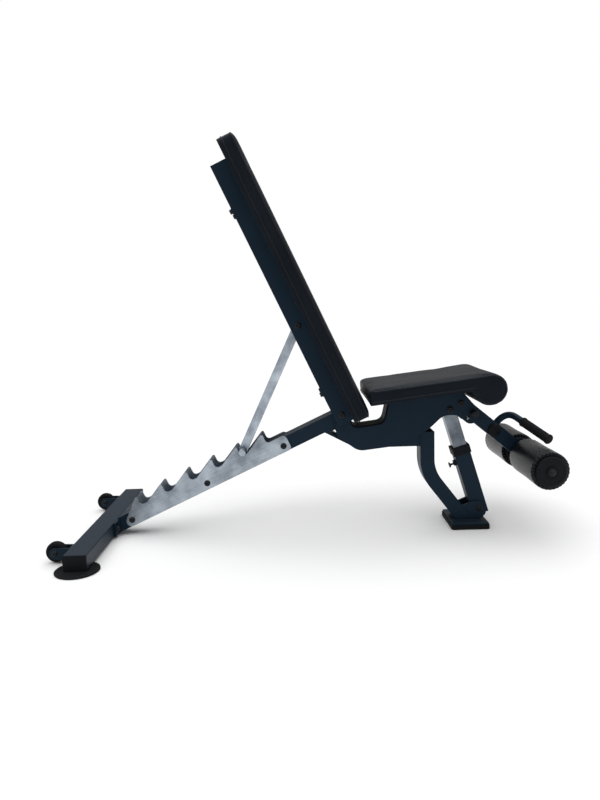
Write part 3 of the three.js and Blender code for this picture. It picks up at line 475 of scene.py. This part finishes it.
# Transport wheels: a solid rubber tyre pressed on a black plastic hub that turns on its bolt.
for side in ("near", "far"):
    low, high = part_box("wheel_" + side)
    centre = (low + high) / 2
    outer, half = (high.z - low.z) / 2, (high.y - low.y) / 2
    seat_radius = outer * 0.66
    tyre_profile = softened(
        [[seat_radius, -half * 0.9], [outer * 0.86, -half * 0.95], [outer, -half * 0.62],
         [outer, half * 0.62], [outer * 0.86, half * 0.95], [seat_radius, half * 0.9],
         [seat_radius, -half * 0.9]], 0.004, 6,
    )[:-1]
    tyre = revolved("wheel_tyre_" + side, tyre_profile, centre, (0, 1, 0), rubber, 64, ring=True)
    hub_edge = seat_radius - 0.0002
    hub_profile = softened(
        [[0.0054, -half], [outer * 0.34, -half], [outer * 0.38, -half * 0.6], [outer * 0.56, -half * 0.6],
         [outer * 0.6, -half * 0.85], [hub_edge, -half * 0.85], [hub_edge, half * 0.85],
         [outer * 0.6, half * 0.85], [outer * 0.56, half * 0.6], [outer * 0.38, half * 0.6],
         [outer * 0.34, half], [0.0054, half],
         [0.0054, -half]], 0.0008, 3,
    )[:-1]
    hub = revolved("wheel_hub_" + side, hub_profile, centre, (0, 1, 0), black_plastic, 64, ring=True)
    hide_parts("wheel_" + side)
    for piece, slot_name in ((tyre, "rubber"), (hub, "black_plastic")):
        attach(piece, "wheel_" + side)


# Rear feet: round moulded rubber pads with a raised rim, screwed up into the crossbar.
for side in ("near", "far"):
    low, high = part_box("rear_foot_" + side)
    centre = (low + high) / 2
    outer = (high.x - low.x) / 2
    top = high.z
    foot_profile = softened(
        [[0, 0], [outer - 0.0015, 0], [outer, 0.0012], [outer, top * 0.72], [outer - 0.004, top],
         [outer - 0.010, top], [outer - 0.0115, top - 0.0012], [0, top - 0.0004]], 0.0012, 4,
    )
    foot = revolved(
        "rear_foot_%s_finished" % side, foot_profile, (centre.x, centre.y, 0), (0, 0, 1), rubber, 96,
    )
    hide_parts("rear_foot_" + side)
    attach(foot, "base")


# Pull pins: turned black steel with a waisted knob, held in by a spring, one on the post and one on the arm.
pin_low, pin_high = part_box("arm_lock_pin")
knob_centre = (pin_low + pin_high) / 2
outer_end = pin_low.y
knob = [
    [0, 0], [0.0075, 0.0003], [0.0098, 0.0022], [0.0104, 0.005], [0.0100, 0.0085], [0.0082, 0.0112],
    [0.0078, 0.0140], [0.0090, 0.0155], [0.0090, 0.0238], [0.0055, 0.0240],
    [0.0055, pin_high.y - outer_end], [0, pin_high.y - outer_end],
]
arm_pin = revolved(
    "arm_lock_pin_finished", softened(knob, 0.0010, 4), (knob_centre.x, outer_end, knob_centre.z), (0, 1, 0),
    black_steel,
)
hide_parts("arm_lock_pin")
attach(arm_pin, "arm_pin")

pull_axis = np.array(records["post_pin_pull"]["axis"])
pull_points = np.array([v.co for v in frame["nodes"]["post_pull_pin"].data.vertices])
pull_along = pull_points @ pull_axis
pull_centre = (pull_points.max(0) + pull_points.min(0)) / 2
pull_origin = pull_centre - pull_axis * (pull_centre @ pull_axis - pull_along.min())
pull_length = pull_along.max() - pull_along.min()
pull_knob = [
    [0, 0], [0.0039, 0], [0.0039, pull_length - 0.0130], [0.0028, pull_length - 0.0120],
    [0.0028, pull_length - 0.0058], [0.0062, pull_length - 0.0042], [0.0083, pull_length - 0.0016],
    [0.0080, pull_length], [0, pull_length],
]
post_pin = revolved(
    "post_pull_pin_finished", softened(pull_knob, 0.0007, 4), pull_origin, pull_axis, black_steel, 40,
)
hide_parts("post_pull_pin")
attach(post_pin, "post_pin")


# Leg arm handle: a bent steel pipe welded into the arm, coated as the frame, with a ribbed rubber grip pushed
# over its end and a domed cap over the bolt that crosses its foot.
arm_pivot = np.array(records["arm_swing"]["pos_m"])
roller_hub = np.array(records["roller_near_spin"]["pos_m"]) * (1, 0, 1)
arm_way = (roller_hub - arm_pivot) / np.linalg.norm(roller_hub - arm_pivot)
aside = np.array([0.0, 1.0, 0.0])
arm_over = np.cross(arm_way, aside)
boss_low, boss_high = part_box("handle_bolt")
boss_centre = np.array((boss_low + boss_high) / 2) * (1, 0, 1)
pipe_points = np.array([v.co for v in frame["nodes"]["handle_pipe"].data.vertices]) - arm_pivot
grip_points = np.array([v.co for v in frame["nodes"]["handle_grip"].data.vertices]) - arm_pivot
PIPE_RADIUS = 0.0095
pipe_foot = (pipe_points @ arm_over).min() + 0.0005
pipe_top = (pipe_points @ arm_over).max() - PIPE_RADIUS
SPLAY = math.radians(30)
BEND = 0.044
handle_root = boss_centre
level_way = arm_way * math.sin(SPLAY) - aside * math.cos(SPLAY)
grip_along = (grip_points - (handle_root - arm_pivot)) @ level_way
grip_start, grip_end = grip_along.min(), grip_along.max()
PIPE_REACH = grip_end - 0.0062


def swept(name, path, flat_normal, radius, material, sides=24, closed=False, sharp=60.0):
    """A round section carried along a path that lies in a plane: point = path + radius * (cos a * side +
    sin a * over), where side lies in that plane at right angles to the path, and over at right angles to
    both. Open ends are closed by a point."""
    path = np.asarray(path, float)
    along = np.roll(path, -1, 0) - np.roll(path, 1, 0) if closed else np.gradient(path, axis=0)
    along /= np.linalg.norm(along, axis=1, keepdims=True)
    normal = np.asarray(flat_normal, float)
    side = np.cross(along, normal)
    side /= np.linalg.norm(side, axis=1, keepdims=True)
    over = np.cross(side, along)
    a = np.linspace(0, 2 * np.pi, sides, endpoint=False)
    r = np.broadcast_to(np.asarray(radius, float), (len(path),))[:, None, None]
    ring = np.cos(a)[None, :, None] * side[:, None] + np.sin(a)[None, :, None] * over[:, None]
    points = path[:, None] + r * ring
    if not closed:
        first, last = np.repeat(path[:1, None], sides, 1), np.repeat(path[-1:, None], sides, 1)
        points = np.concatenate([first, points, last])
    faces = grid_faces(len(points), sides, closed, True).tolist()
    return new_piece(name, points.reshape(-1, 3), faces, material, sharp)


t = np.linspace(0, 1, 25)[:, None]
knee = handle_root + arm_over * pipe_top
knee_low, knee_out = knee - arm_over * BEND, knee + level_way * BEND
bend = (1 - t) ** 2 * knee_low + 2 * t * (1 - t) * knee + t ** 2 * knee_out
straight = knee + level_way * np.linspace(BEND + 0.002, PIPE_REACH, 12)[:, None]
rise = handle_root + arm_over * np.linspace(pipe_foot, pipe_top - BEND - 0.001, 8)[:, None]
pipe = swept(
    "handle_pipe_finished", np.vstack([rise, bend, straight]), np.cross(arm_over, level_way), PIPE_RADIUS,
    frame_paint, 32,
)
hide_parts("handle_pipe")
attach(pipe, "leg_arm")

RIB_COUNT = 22
GRIP_RADIUS = 0.0119
ribs = np.linspace(grip_start + 0.007, grip_end - 0.009, RIB_COUNT * 8)
rib_wave = 0.0012 * np.abs(np.cos(np.pi * np.arange(RIB_COUNT * 8) / 8)) - 0.0004
grip_profile = np.vstack([
    [[0, PIPE_REACH + 0.0002], [0.0098, PIPE_REACH + 0.0002], [0.0098, grip_start], [0.0128, grip_start],
     [0.0135, grip_start + 0.001], [0.0135, grip_start + 0.005]],
    np.column_stack([GRIP_RADIUS + rib_wave, ribs]),
    [[0.0126, grip_end - 0.0068], [0.0138, grip_end - 0.0055], [0.0140, grip_end - 0.002],
     [0.0130, grip_end - 0.0004], [0.0100, grip_end], [0, grip_end]],
])
grip = revolved("handle_grip_finished", grip_profile, knee, level_way, rubber, 48, sharp=60.0)
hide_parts("handle_grip")
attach(grip, "leg_arm")

boss_face = boss_low.y + 0.009
boss_profile = softened(
    [[0, boss_low.y], [0.008, boss_low.y + 0.0006], [0.0160, boss_low.y + 0.0035],
     [0.0190, boss_face - 0.0012], [0.0187, boss_face], [0.004, boss_face],
     [0.004, boss_high.y - 0.0052], [0.0078, boss_high.y - 0.0050],
     [0.0078, boss_high.y], [0, boss_high.y]], 0.001, 4,
)
boss = revolved("handle_boss", boss_profile, boss_centre, (0, 1, 0), black_plastic, 56)
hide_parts("handle_bolt")
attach(boss, "leg_arm")


# Foam rollers: thick foam tubes in glossy black vinyl, gathered in small pleats where the cover tucks under
# the round end caps. They turn on a steel bar with a domed nut at each end.
VINYL_COLOUR = (0.0034, 0.0042, 0.0062, 1)
VINYL_HIGH = (0.0058, 0.0068, 0.0094, 1)
PLEATS = 30
PLEAT_START = 0.030
PLEAT_FADE = 0.010
PLEAT_GROOVE = 0.0013
PLEAT_TUCK = 0.0034
ROLLER_BORE = 0.0104
ROLLER_TURN_IN = 0.0045


def vinyl_skin(tree, given):
    """Fine leather grain over slow dents, with a faint change of tone."""
    place = put(tree, "ShaderNodeTexCoord").outputs["Object"]
    cells = put(
        tree, "ShaderNodeTexVoronoi", {"feature": "DISTANCE_TO_EDGE"}, Vector=place, Scale=780.0,
    ).outputs[0]
    grain = ramp(tree, cells, 0.0, 0.35)
    slow = noise(tree, place, 11.0, 3.0, 0.55)
    tone = blend_colour(tree, ramp(tree, slow, 0.3, 0.75), given.outputs["Colour"], given.outputs["High"])
    rough = put(
        tree, "ShaderNodeMapRange", Value=slow,
        To_Min=given.outputs["Rough Low"], To_Max=given.outputs["Rough High"],
    ).outputs[0]
    return [tone, rough, scaled(tree, slow, 2.5, grain)]


VINYL = effect(
    "vinyl skin",
    [("Colour", "NodeSocketColor", None), ("High", "NodeSocketColor", None),
     ("Rough Low", "NodeSocketFloat", 0.3), ("Rough High", "NodeSocketFloat", 0.5)],
    [("Colour", "NodeSocketColor"), ("Roughness", "NodeSocketFloat"), ("Height", "NodeSocketFloat")],
    vinyl_skin,
)


def vinyl_material(name, rough_low, rough_high, **shader):
    """Black vinyl whose gloss wanders between two roughnesses."""
    material, tree, principled = new_material(name, VINYL_COLOUR, **shader)
    group = use_group(
        tree, VINYL, Colour=VINYL_COLOUR, High=VINYL_HIGH, Rough_Low=rough_low, Rough_High=rough_high,
    )
    tree.links.new(group.outputs["Colour"], principled.inputs["Base Color"])
    tree.links.new(group.outputs["Roughness"], principled.inputs["Roughness"])
    bump = put(tree, "ShaderNodeBump", Height=group.outputs["Height"], Strength=0.28, Distance=0.0005)
    tree.links.new(bump.outputs[0], principled.inputs["Normal"])
    return material


roller_vinyl = vinyl_material(
    "glossy roller vinyl", 0.22, 0.34, Specular_IOR_Level=0.15, Coat_Weight=0.04, Coat_Roughness=0.18,
)
for side in ("near", "far"):
    low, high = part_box("roller_foam_" + side)
    centre = (low + high) / 2
    outer, half = (high.z - low.z) / 2, (high.y - low.y) / 2
    arc = np.linspace(0, np.pi / 2, 12)
    face_edge = outer - ROLLER_TURN_IN
    shoulder = np.column_stack([
        face_edge + ROLLER_TURN_IN * np.sin(arc), -half + ROLLER_TURN_IN * (1 - np.cos(arc)),
    ])
    straight_half = half - ROLLER_TURN_IN * 1.3
    barrel = np.column_stack([np.full(30, outer), np.linspace(-straight_half, straight_half, 30)])
    gathered = np.column_stack([np.linspace(PLEAT_START, face_edge, 10, endpoint=False), np.full(10, -half)])
    foam_profile = np.vstack([
        [[ROLLER_BORE, half], [ROLLER_BORE, -half]], gathered, shoulder, barrel, shoulder[::-1] * (1, -1),
        gathered[::-1] * (1, -1),
    ])

    def pleated(radius, height, angle, half=half, outer=outer):
        """Pleats pressed into both end faces, fading out along the barrel, and a slow swelling of it."""
        near_end = np.clip((np.abs(height) - (half - PLEAT_FADE)) / PLEAT_FADE, 0, 1) ** 2
        skin = near_end * np.clip((radius - PLEAT_START) / 0.006, 0, 1)
        fold = 0.5 + 0.5 * np.cos(PLEATS * angle + 0.8 * np.sin(3 * angle))
        swell = 0.0004 * np.sin(2 * angle + 40 * height) * (radius > outer * 0.9)
        return -PLEAT_GROOVE * skin * fold + swell, -PLEAT_TUCK * skin * fold * np.sign(height)

    foam = revolved(
        "roller_foam_%s_finished" % side, foam_profile, centre, (0, 1, 0), roller_vinyl, 288, ring=True,
        ripple=pleated, sharp=80.0,
    )
    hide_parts("roller_foam_" + side)
    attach(foam, "roller_" + side)

    for kind in ("roller_cap_", "roller_inner_cap_"):
        low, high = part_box(kind + side)
        centre = (low + high) / 2
        rim = (high.z - low.z) / 2 - 0.001
        thick = (high.y - low.y) / 2
        out = 1 if (centre.y > 0) == (kind == "roller_cap_") else -1
        cap_profile = softened(
            [[ROLLER_BORE, -thick], [rim, -thick], [rim + 0.0006, thick * 0.3], [rim - 0.0030, thick],
             [rim - 0.0065, thick], [rim - 0.0080, thick - 0.0014], [0.0180, thick - 0.0006],
             [0.0165, thick - 0.0018], [ROLLER_BORE, thick - 0.0018], [ROLLER_BORE, -thick]], 0.0009, 4,
        )[:-1]
        cap = revolved(
            kind + side + "_finished", cap_profile, centre, (0, out, 0), black_plastic, 96, ring=True,
        )
        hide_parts(kind + side)
        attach(cap, "roller_" + side)

low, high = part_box("roller_axle")
centre = (low + high) / 2
bar, end = 0.0098, high.y
nut = [
    [0, end], [0.0035, end - 0.0005], [0.0068, end - 0.003], [0.0078, end - 0.0065], [0.0108, end - 0.0068],
    [0.0108, end - 0.0088], [bar, end - 0.0090],
]
axle_profile = softened([[r, -h] for r, h in nut] + [[r, h] for r, h in reversed(nut)], 0.0006, 3)
axle = revolved("roller_axle_finished", axle_profile, (centre.x, 0, centre.z), (0, 1, 0), black_steel, 48)
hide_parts("roller_axle")
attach(axle, "leg_arm")


# Cushions of the backrest and the seat: firm foam on a board, pulled tight under black vinyl that is stapled
# behind. A sewn welt runs round the edge where the front panel meets the side panel.
VINYL_SHEEN = (0.62, 0.80, 1.0, 1)
pad_vinyl = vinyl_material(
    "satin cushion vinyl", 0.36, 0.52, Specular_IOR_Level=0.13, Specular_Tint=VINYL_SHEEN,
)
BACK_WRAP = 0.0175
BACK_BOARD_LENGTH = 1.0
SEAT_WRAP = 0.0140
SEAT_BOARD_LENGTH = 0.272
VOXEL = 0.005
START_INSET = 0.0018
TRAVEL = 0.0040
SMOOTHING = 7
SPARE = 0.012
CLOTH_FRAMES = 20
back_front = np.array(mounts["back_surface"]["axis"])
back_up = np.cross(back_front, aside)
seat_up = np.array(mounts["seat_surface"]["axis"])
seat_forward = np.cross(aside, seat_up)


def mesh_points(mesh):
    """The places of a mesh's points, one row each."""
    points = np.empty(len(mesh.vertices) * 3)
    mesh.vertices.foreach_get("co", points)
    return points.reshape(-1, 3)


def set_points(mesh, points):
    """Moves a mesh's points to the given rows."""
    mesh.vertices.foreach_set("co", points.astype(np.float32).ravel())
    mesh.update()


def relaxed(mesh, rounds):
    """Each point moved half way to the mean of its neighbours, several times over."""
    edges = np.empty(len(mesh.edges) * 2, np.int32)
    mesh.edges.foreach_get("vertices", edges)
    first, second = edges.reshape(-1, 2).T
    points = mesh_points(mesh)
    count = np.bincount(edges, minlength=len(points))[:, None]
    for _ in range(rounds):
        total = np.zeros_like(points)
        np.add.at(total, first, points[second])
        np.add.at(total, second, points[first])
        points = (points + total / count) / 2
    set_points(mesh, points)


def evaluated_copy(piece):
    """A new mesh of a piece as its modifiers leave it."""
    finished = piece.evaluated_get(bpy.context.evaluated_depsgraph_get())
    return bpy.data.meshes.new_from_object(finished)


def stuffed(name, node, forward, up, wrap, board_length, material):
    """A cushion blown up from a slightly smaller copy of its CAD solid, in a frame where its back is flat,
    so that the voxels line up with it. Its flat back is drawn on by wrap, round the edge of the board behind
    it, and ends in a crisp edge there. Points move at most TRAVEL, and then the cushion is stretched to full
    size."""
    turn = np.array([forward, aside, up])
    source = frame["nodes"][node].data
    work = bmesh.new()
    work.from_mesh(source)
    bmesh.ops.remove_doubles(work, verts=work.verts, dist=1e-5)
    mesh = bpy.data.meshes.new(name)
    work.to_mesh(mesh)
    work.free()
    corners = mesh_points(mesh) @ turn.T
    rear = corners[:, 0] < corners[:, 0].min() + 0.02
    flat = corners[rear, 2].min()
    low, high = corners.min(0), corners.max(0)
    floor = flat - wrap
    board_end = low[0] + board_length
    low[2] = min(low[2], floor)
    corners[np.abs(corners[:, 2] - flat) < 0.0008, 2] = floor - SPARE
    set_points(mesh, corners)
    piece = bpy.data.objects.new(name, mesh)
    bpy.context.scene.collection.objects.link(piece)
    remesh = piece.modifiers.new("voxels", "REMESH")
    remesh.mode = "VOXEL"
    remesh.voxel_size = VOXEL
    piece.data = evaluated_copy(piece)
    piece.modifiers.clear()
    relaxed(piece.data, SMOOTHING)
    normals = np.empty(len(piece.data.vertices) * 3)
    piece.data.vertices.foreach_get("normal", normals)
    set_points(piece.data, mesh_points(piece.data) - START_INSET * normals.reshape(-1, 3))
    start = mesh_points(piece.data)
    cloth = piece.modifiers.new("foam", "CLOTH")
    settings = cloth.settings
    settings.quality = 5
    settings.mass = 0.3
    settings.tension_stiffness = settings.compression_stiffness = 18
    settings.shear_stiffness = 8
    settings.bending_stiffness = 2.5
    settings.use_pressure = True
    settings.uniform_pressure_force = 4
    settings.effector_weights.gravity = 0
    cloth.point_cache.frame_start = 1
    cloth.point_cache.frame_end = CLOTH_FRAMES
    for number in range(1, CLOTH_FRAMES + 1):
        bpy.context.scene.frame_set(number)
    blown = evaluated_copy(piece)
    piece.modifiers.clear()
    bpy.context.scene.frame_set(1)
    piece.data = blown
    moved = mesh_points(blown) - start
    length = np.maximum(np.linalg.norm(moved, axis=1, keepdims=True), 1e-9)
    start = start + moved * np.minimum(1, TRAVEL / length)
    behind = (start[:, 2] < floor) & (start[:, 0] < board_end)
    start[behind, 2] = floor
    size = start.max(0) - start.min(0)
    start = low + (start - start.min(0)) / size * (high - low)
    set_points(piece.data, start @ turn)
    piece.data.materials.clear()
    piece.data.materials.append(material)
    piece.data.shade_smooth()
    subdivision = piece.modifiers.new("skin", "SUBSURF")
    subdivision.levels = subdivision.render_levels = 1
    return piece


back_cushion = stuffed(
    "backrest_cushion", "backrest_pad", -back_up, back_front, BACK_WRAP, BACK_BOARD_LENGTH, pad_vinyl,
)
seat_cushion = stuffed(
    "seat_cushion", "seat_pad", seat_forward, seat_up, SEAT_WRAP, SEAT_BOARD_LENGTH, pad_vinyl,
)
for cushion, node, body in (
    (back_cushion, "backrest_pad", "backrest"), (seat_cushion, "seat_pad", "seat_carriage"),
):
    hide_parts(node)
    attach(cushion, body)


def rounded_loop(x0, x1, y0, y1, radius, step=0.004):
    """A closed loop round a rectangle with rounded corners, its points about one step apart."""
    quarter = np.linspace(0, np.pi / 2, 10)
    centres = [(x1 - radius, y1 - radius), (x0 + radius, y1 - radius), (x0 + radius, y0 + radius),
               (x1 - radius, y0 + radius)]
    corners = []
    for k, (cx, cy) in enumerate(centres):
        angle = quarter + k * np.pi / 2
        corners.append(np.column_stack([cx + radius * np.cos(angle), cy + radius * np.sin(angle)]))
    rough = np.vstack(corners + [corners[0][:1]])
    length = np.concatenate([[0], np.cumsum(np.linalg.norm(np.diff(rough, axis=0), axis=1))])
    at = np.linspace(0, length[-1], int(length[-1] / step), endpoint=False)
    return np.column_stack([np.interp(at, length, rough[:, 0]), np.interp(at, length, rough[:, 1])])


def snapped(path, cushion, sink):
    """Each point of a path moved to the nearest place on a cushion, and sunk a little into it."""
    tree = BVHTree.FromObject(cushion, bpy.context.evaluated_depsgraph_get())
    found = [tree.find_nearest(Vector(point)) for point in path]
    return np.array([np.array(place) - sink * np.array(normal) for place, normal, _, _ in found])


def smooth_loop(path, rounds, closed):
    """A path smoothed by taking the mean of each point and its two neighbours."""
    for _ in range(rounds):
        inner = (np.roll(path, 1, 0) + path * 2 + np.roll(path, -1, 0)) / 4
        path = inner if closed else np.vstack([path[:1], inner[1:-1], path[-1:]])
    return path


welt_vinyl = vinyl_material(
    "piping vinyl", 0.24, 0.34, Specular_IOR_Level=0.22, Specular_Tint=VINYL_SHEEN,
)
WELT_RADIUS = 0.0024
BACK_CORNER = 0.020
FRONT_WELT_INSET = 0.009
REAR_WELT_OUTSET = 0.0045
WELT_SINK = 0.0002
back_points = mesh_points(frame["nodes"]["backrest_pad"].data)
back_axes = np.array([back_up, aside, back_front])
back_low, back_high = (back_points @ back_axes.T).min(0), (back_points @ back_axes.T).max(0)
for label, level in (("front", back_high[2] - FRONT_WELT_INSET), ("back", back_low[2] - REAR_WELT_OUTSET)):
    loop = rounded_loop(back_low[0], back_high[0], back_low[1], back_high[1], BACK_CORNER)
    local = np.column_stack([loop, np.full(len(loop), level)])
    path = smooth_loop(snapped(local @ back_axes, back_cushion, WELT_SINK), 3, True)
    welt = swept("backrest_welt_" + label, path, back_front, WELT_RADIUS, welt_vinyl, 12, closed=True)
    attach(welt, "backrest")

seat_points = mesh_points(frame["nodes"]["seat_pad"].data)
seat_axes = np.array([seat_forward, aside, seat_up])
seat_local = seat_points @ seat_axes.T
seat_low, seat_high = seat_local.min(0), seat_local.max(0)
ROLL_RADIUS = 0.045
SIDE_WELT_INSET = 0.006
SIDE_WELT_SINK = 0.0004
SEAT_CORNER = 0.012
SEAM_ABOVE_ROLL = 0.0100
roll_centre = np.array([seat_high[0] - ROLL_RADIUS, 0, seat_high[2] - ROLL_RADIUS])
for side in (-1, 1):
    angle = np.linspace(math.radians(-150), math.radians(90), 60)
    reach = ROLL_RADIUS - SIDE_WELT_INSET
    roll = np.column_stack([roll_centre[0] + reach * np.cos(angle), roll_centre[2] + reach * np.sin(angle)])
    top = np.column_stack([
        np.linspace(roll_centre[0] - 0.003, seat_low[0] + 0.014, 80),
        np.full(80, seat_high[2] - SIDE_WELT_INSET),
    ])
    line = np.vstack([roll, top])
    edge = seat_high[1] if side > 0 else seat_low[1]
    local = np.column_stack([line[:, 0], np.full(len(line), edge), line[:, 1]])
    path = smooth_loop(snapped(local @ seat_axes, seat_cushion, SIDE_WELT_SINK), 4, False)
    name = "seat_welt_" + ("far" if side > 0 else "near")
    welt = swept(name, path, (0, 1, 0), WELT_RADIUS, welt_vinyl, 12)
    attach(welt, "seat_carriage")

seat_seam = rounded_loop(seat_low[0], roll_centre[0] - 0.040, seat_low[1], seat_high[1], SEAT_CORNER)
seam_level = roll_centre[2] + SEAM_ABOVE_ROLL
seam_local = np.column_stack([seat_seam, np.full(len(seat_seam), seam_level)])
seam_path = smooth_loop(snapped(seam_local @ seat_axes, seat_cushion, WELT_SINK), 3, True)
seam = swept("seat_welt_back", seam_path, seat_up, WELT_RADIUS, welt_vinyl, 12, closed=True)
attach(seam, "seat_carriage")


# Backs of the cushions: thin board panels under black cloth, stapled on behind the vinyl, with four bolts
# that hold the backrest's board to its two tubes.
PANEL_THICK = 0.0050
PANEL_EDGE = 0.0012
PANEL_CORNER = 0.016
PANEL_STEP = 0.006
BACK_PANEL_INSET = 0.006
SEAT_PANEL_INSET = 0.002


def backing(node, axes, inset, body):
    """A flat panel behind a cushion: one rounded rectangle, scaled about its middle by 1 - shrink / half at
    each level from its rear face to its front face."""
    local = mesh_points(frame["nodes"][node].data) @ axes.T
    low, high = local.min(0), local.max(0)
    middle, half = (low[:2] + high[:2]) / 2, (high[:2] - low[:2]) / 2 - inset
    outer = rounded_loop(
        low[0] + inset, high[0] - inset, low[1] + inset, high[1] - inset, PANEL_CORNER, PANEL_STEP,
    )
    levels = (
        (half, 0), (PANEL_EDGE, 0), (0, PANEL_EDGE), (0, PANEL_THICK - PANEL_EDGE),
        (PANEL_EDGE, PANEL_THICK), (half, PANEL_THICK),
    )
    rows = []
    for shrink, level in levels:
        outline = middle + (outer - middle) * (1 - shrink / half)
        rows.append(np.column_stack([outline, np.full(len(outer), low[2] + level)]))
    faces = grid_faces(len(levels), len(outer), False, True).tolist()
    piece = new_piece(node + "_finished", np.vstack(rows) @ axes, faces, board_cover)
    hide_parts(node)
    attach(piece, body)


backing("backrest_shell", back_axes, BACK_PANEL_INSET, "backrest")
backing("seat_board", seat_axes, SEAT_PANEL_INSET, "seat_carriage")

back_pivot = np.array(records["backrest_recline"]["pos_m"])
BACK_BOLTS_UP = (0.075, 0.624)
BACK_TUBE_MIDDLE = 0.048
BACK_TUBE_REAR = 0.0225
head_profile = softened(
    [[0, -0.004], [0.003, -0.004], [0.003, 0], [0.0085, 0], [0.0085, 0.0012], [0.0068, 0.0014],
     [0.0066, 0.0066], [0.0038, 0.0076], [0.0035, 0.0052], [0, 0.0052]], 0.0006, 3,
)
for row, along in enumerate(BACK_BOLTS_UP):
    for side, sign in (("near", -1), ("far", 1)):
        place = back_pivot + back_up * along - back_front * BACK_TUBE_REAR + aside * sign * BACK_TUBE_MIDDLE
        name = "back_bolt_%s_%d" % (side, row + 1)
        head = revolved(name, head_profile, place, -back_front, black_steel, 32)
        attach(head, "backrest")


# Welds: short ripple beads of steel where tubes and plates meet, laid before the powder coat and coated
# with it.
BEAD_RADIUS = 0.0024
RIPPLE = 0.0032


def bead(name, start, end, normal, body="base"):
    """A straight bead whose radius rises and falls once for each ripple, ending in rounded tips."""
    start, end = np.asarray(start, float), np.asarray(end, float)
    length = np.linalg.norm(end - start)
    share = np.linspace(0, 1, max(int(length / 0.0006), 12))
    path = start + (end - start) * share[:, None]
    tip = np.sqrt(np.clip(1 - (np.abs(share - 0.5) * 2) ** 24, 0.02, 1))
    radius = BEAD_RADIUS * tip * (1 + 0.14 * np.abs(np.sin(np.pi * share * length / RIPPLE)))
    piece = swept(name, path, normal, radius, frame_paint, 10)
    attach(piece, body)


lower_low, lower_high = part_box("lower_tube")
leg_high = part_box("front_leg")[1]
half_tube = lower_high.y
flange_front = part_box("rear_crossbar")[1].x + 0.0063
for side, sign in (("near", -1), ("far", 1)):
    y = sign * half_tube
    bead("weld_flange_" + side, (flange_front, y, 0.012), (flange_front, y, 0.044), (0, 1, 0))
    for label, x, margin in (("leg", lower_high.x, 0.001), ("link", lower_low.x, 0.002)):
        bead(
            "weld_%s_%s" % (label, side), (x, y, lower_low.z + margin), (x, y, lower_high.z - margin),
            (0, 1, 0),
        )
    low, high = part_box("wheel_bracket_" + side)
    for label, edge in (("a", low.y), ("b", high.y)):
        name = "weld_bracket_%s_%s" % (side, label)
        bead(name, (high.x, edge, low.z + 0.006), (high.x, edge, high.z - 0.004), (0, 1, 0))
foot_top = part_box("foot_plate")[1].z
for name, x, z in (
    ("weld_leg_under", lower_high.x, lower_low.z), ("weld_foot_rear", leg_high.x - 0.048, foot_top),
):
    bead(name, (x, -half_tube, z), (x, half_tube, z), (0, 0, 1))


# Floor and light: a plain pale floor, a pale sky, one broad even lamp high overhead and two large soft lamps.
# Not part of the bench.
FLOOR_SIZE = 60.0
SKY_SEEN = 1.0
SKY_ON_BENCH = 0.45
OVERHEAD_STRENGTH = 2.4
floor_points = np.array([[-1, -1, 0], [1, -1, 0], [1, 1, 0], [-1, 1, 0]], float) * FLOOR_SIZE / 2
floor_mesh = bpy.data.meshes.new("floor")
floor_mesh.from_pydata((floor_points - (0, 0, 0.0004)).tolist(), [], [(0, 1, 2, 3)])
floor = bpy.data.objects.new("floor", floor_mesh)
bpy.context.scene.collection.objects.link(floor)
floor_material = new_material(
    "pale floor", (0.86, 0.86, 0.86, 1), Roughness=0.75, Specular_IOR_Level=0.1,
)[0]
floor_mesh.materials.append(floor_material)

world = bpy.data.worlds.new("pale sky")
bpy.context.scene.world = world
world.use_nodes = True
sky_tree = world.node_tree
background = sky_tree.nodes["Background"]
background.inputs["Color"].default_value = (1.0, 1.0, 1.0, 1)
seen = put(sky_tree, "ShaderNodeLightPath").outputs["Is Camera Ray"]
strength = put(sky_tree, "ShaderNodeMapRange", Value=seen, To_Min=SKY_ON_BENCH, To_Max=SKY_SEEN)
sky_tree.links.new(strength.outputs[0], background.inputs["Strength"])
LAMPS = [
    ("key lamp", (-1.6, -2.6, 3.2), 2.4, 14.0),
    ("side lamp", (3.2, -1.2, 2.4), 2.0, 8.0),
]
for name, place, size, power in LAMPS:
    light = bpy.data.lights.new(name, "AREA")
    light.shape = "DISK"
    light.size = size
    light.energy = power
    lamp = bpy.data.objects.new(name, light)
    lamp.location = place
    aim = Vector((0.0, 0.0, 0.45)) - Vector(place)
    lamp.rotation_euler = aim.to_track_quat("-Z", "Y").to_euler()
    bpy.context.scene.collection.objects.link(lamp)
overhead = bpy.data.lights.new("overhead lamp", "SUN")
overhead.energy = OVERHEAD_STRENGTH
overhead.angle = math.radians(100)
overhead_lamp = bpy.data.objects.new("overhead lamp", overhead)
overhead_lamp.location = (0.0, 0.0, 4.0)
bpy.context.scene.collection.objects.link(overhead_lamp)
bpy.context.scene.view_settings.view_transform = "Standard"


# Camera: level with the seat, in front of the near side, turned a little down. Not part of the bench.
CAMERA_PLACE = (-0.0036, -1.8516, 0.6414)
YAW, PITCH, ROLL = 0.0031, -0.1428, -0.0316
LENS = 29.475
forward = Vector((-math.sin(YAW) * math.cos(PITCH), math.cos(YAW) * math.cos(PITCH), math.sin(PITCH)))
level = Vector((math.cos(YAW), math.sin(YAW), 0))
above = level.cross(forward)
right = math.cos(ROLL) * level + math.sin(ROLL) * above
upright = -math.sin(ROLL) * level + math.cos(ROLL) * above
camera_data = bpy.data.cameras.new("camera")
camera_data.lens = LENS
camera_data.sensor_width = 36.0
camera = bpy.data.objects.new("camera", camera_data)
turn = Matrix((right, upright, -forward)).transposed().to_4x4()
camera.matrix_world = Matrix.Translation(CAMERA_PLACE) @ turn
bpy.context.scene.collection.objects.link(camera)
bpy.context.scene.camera = camera
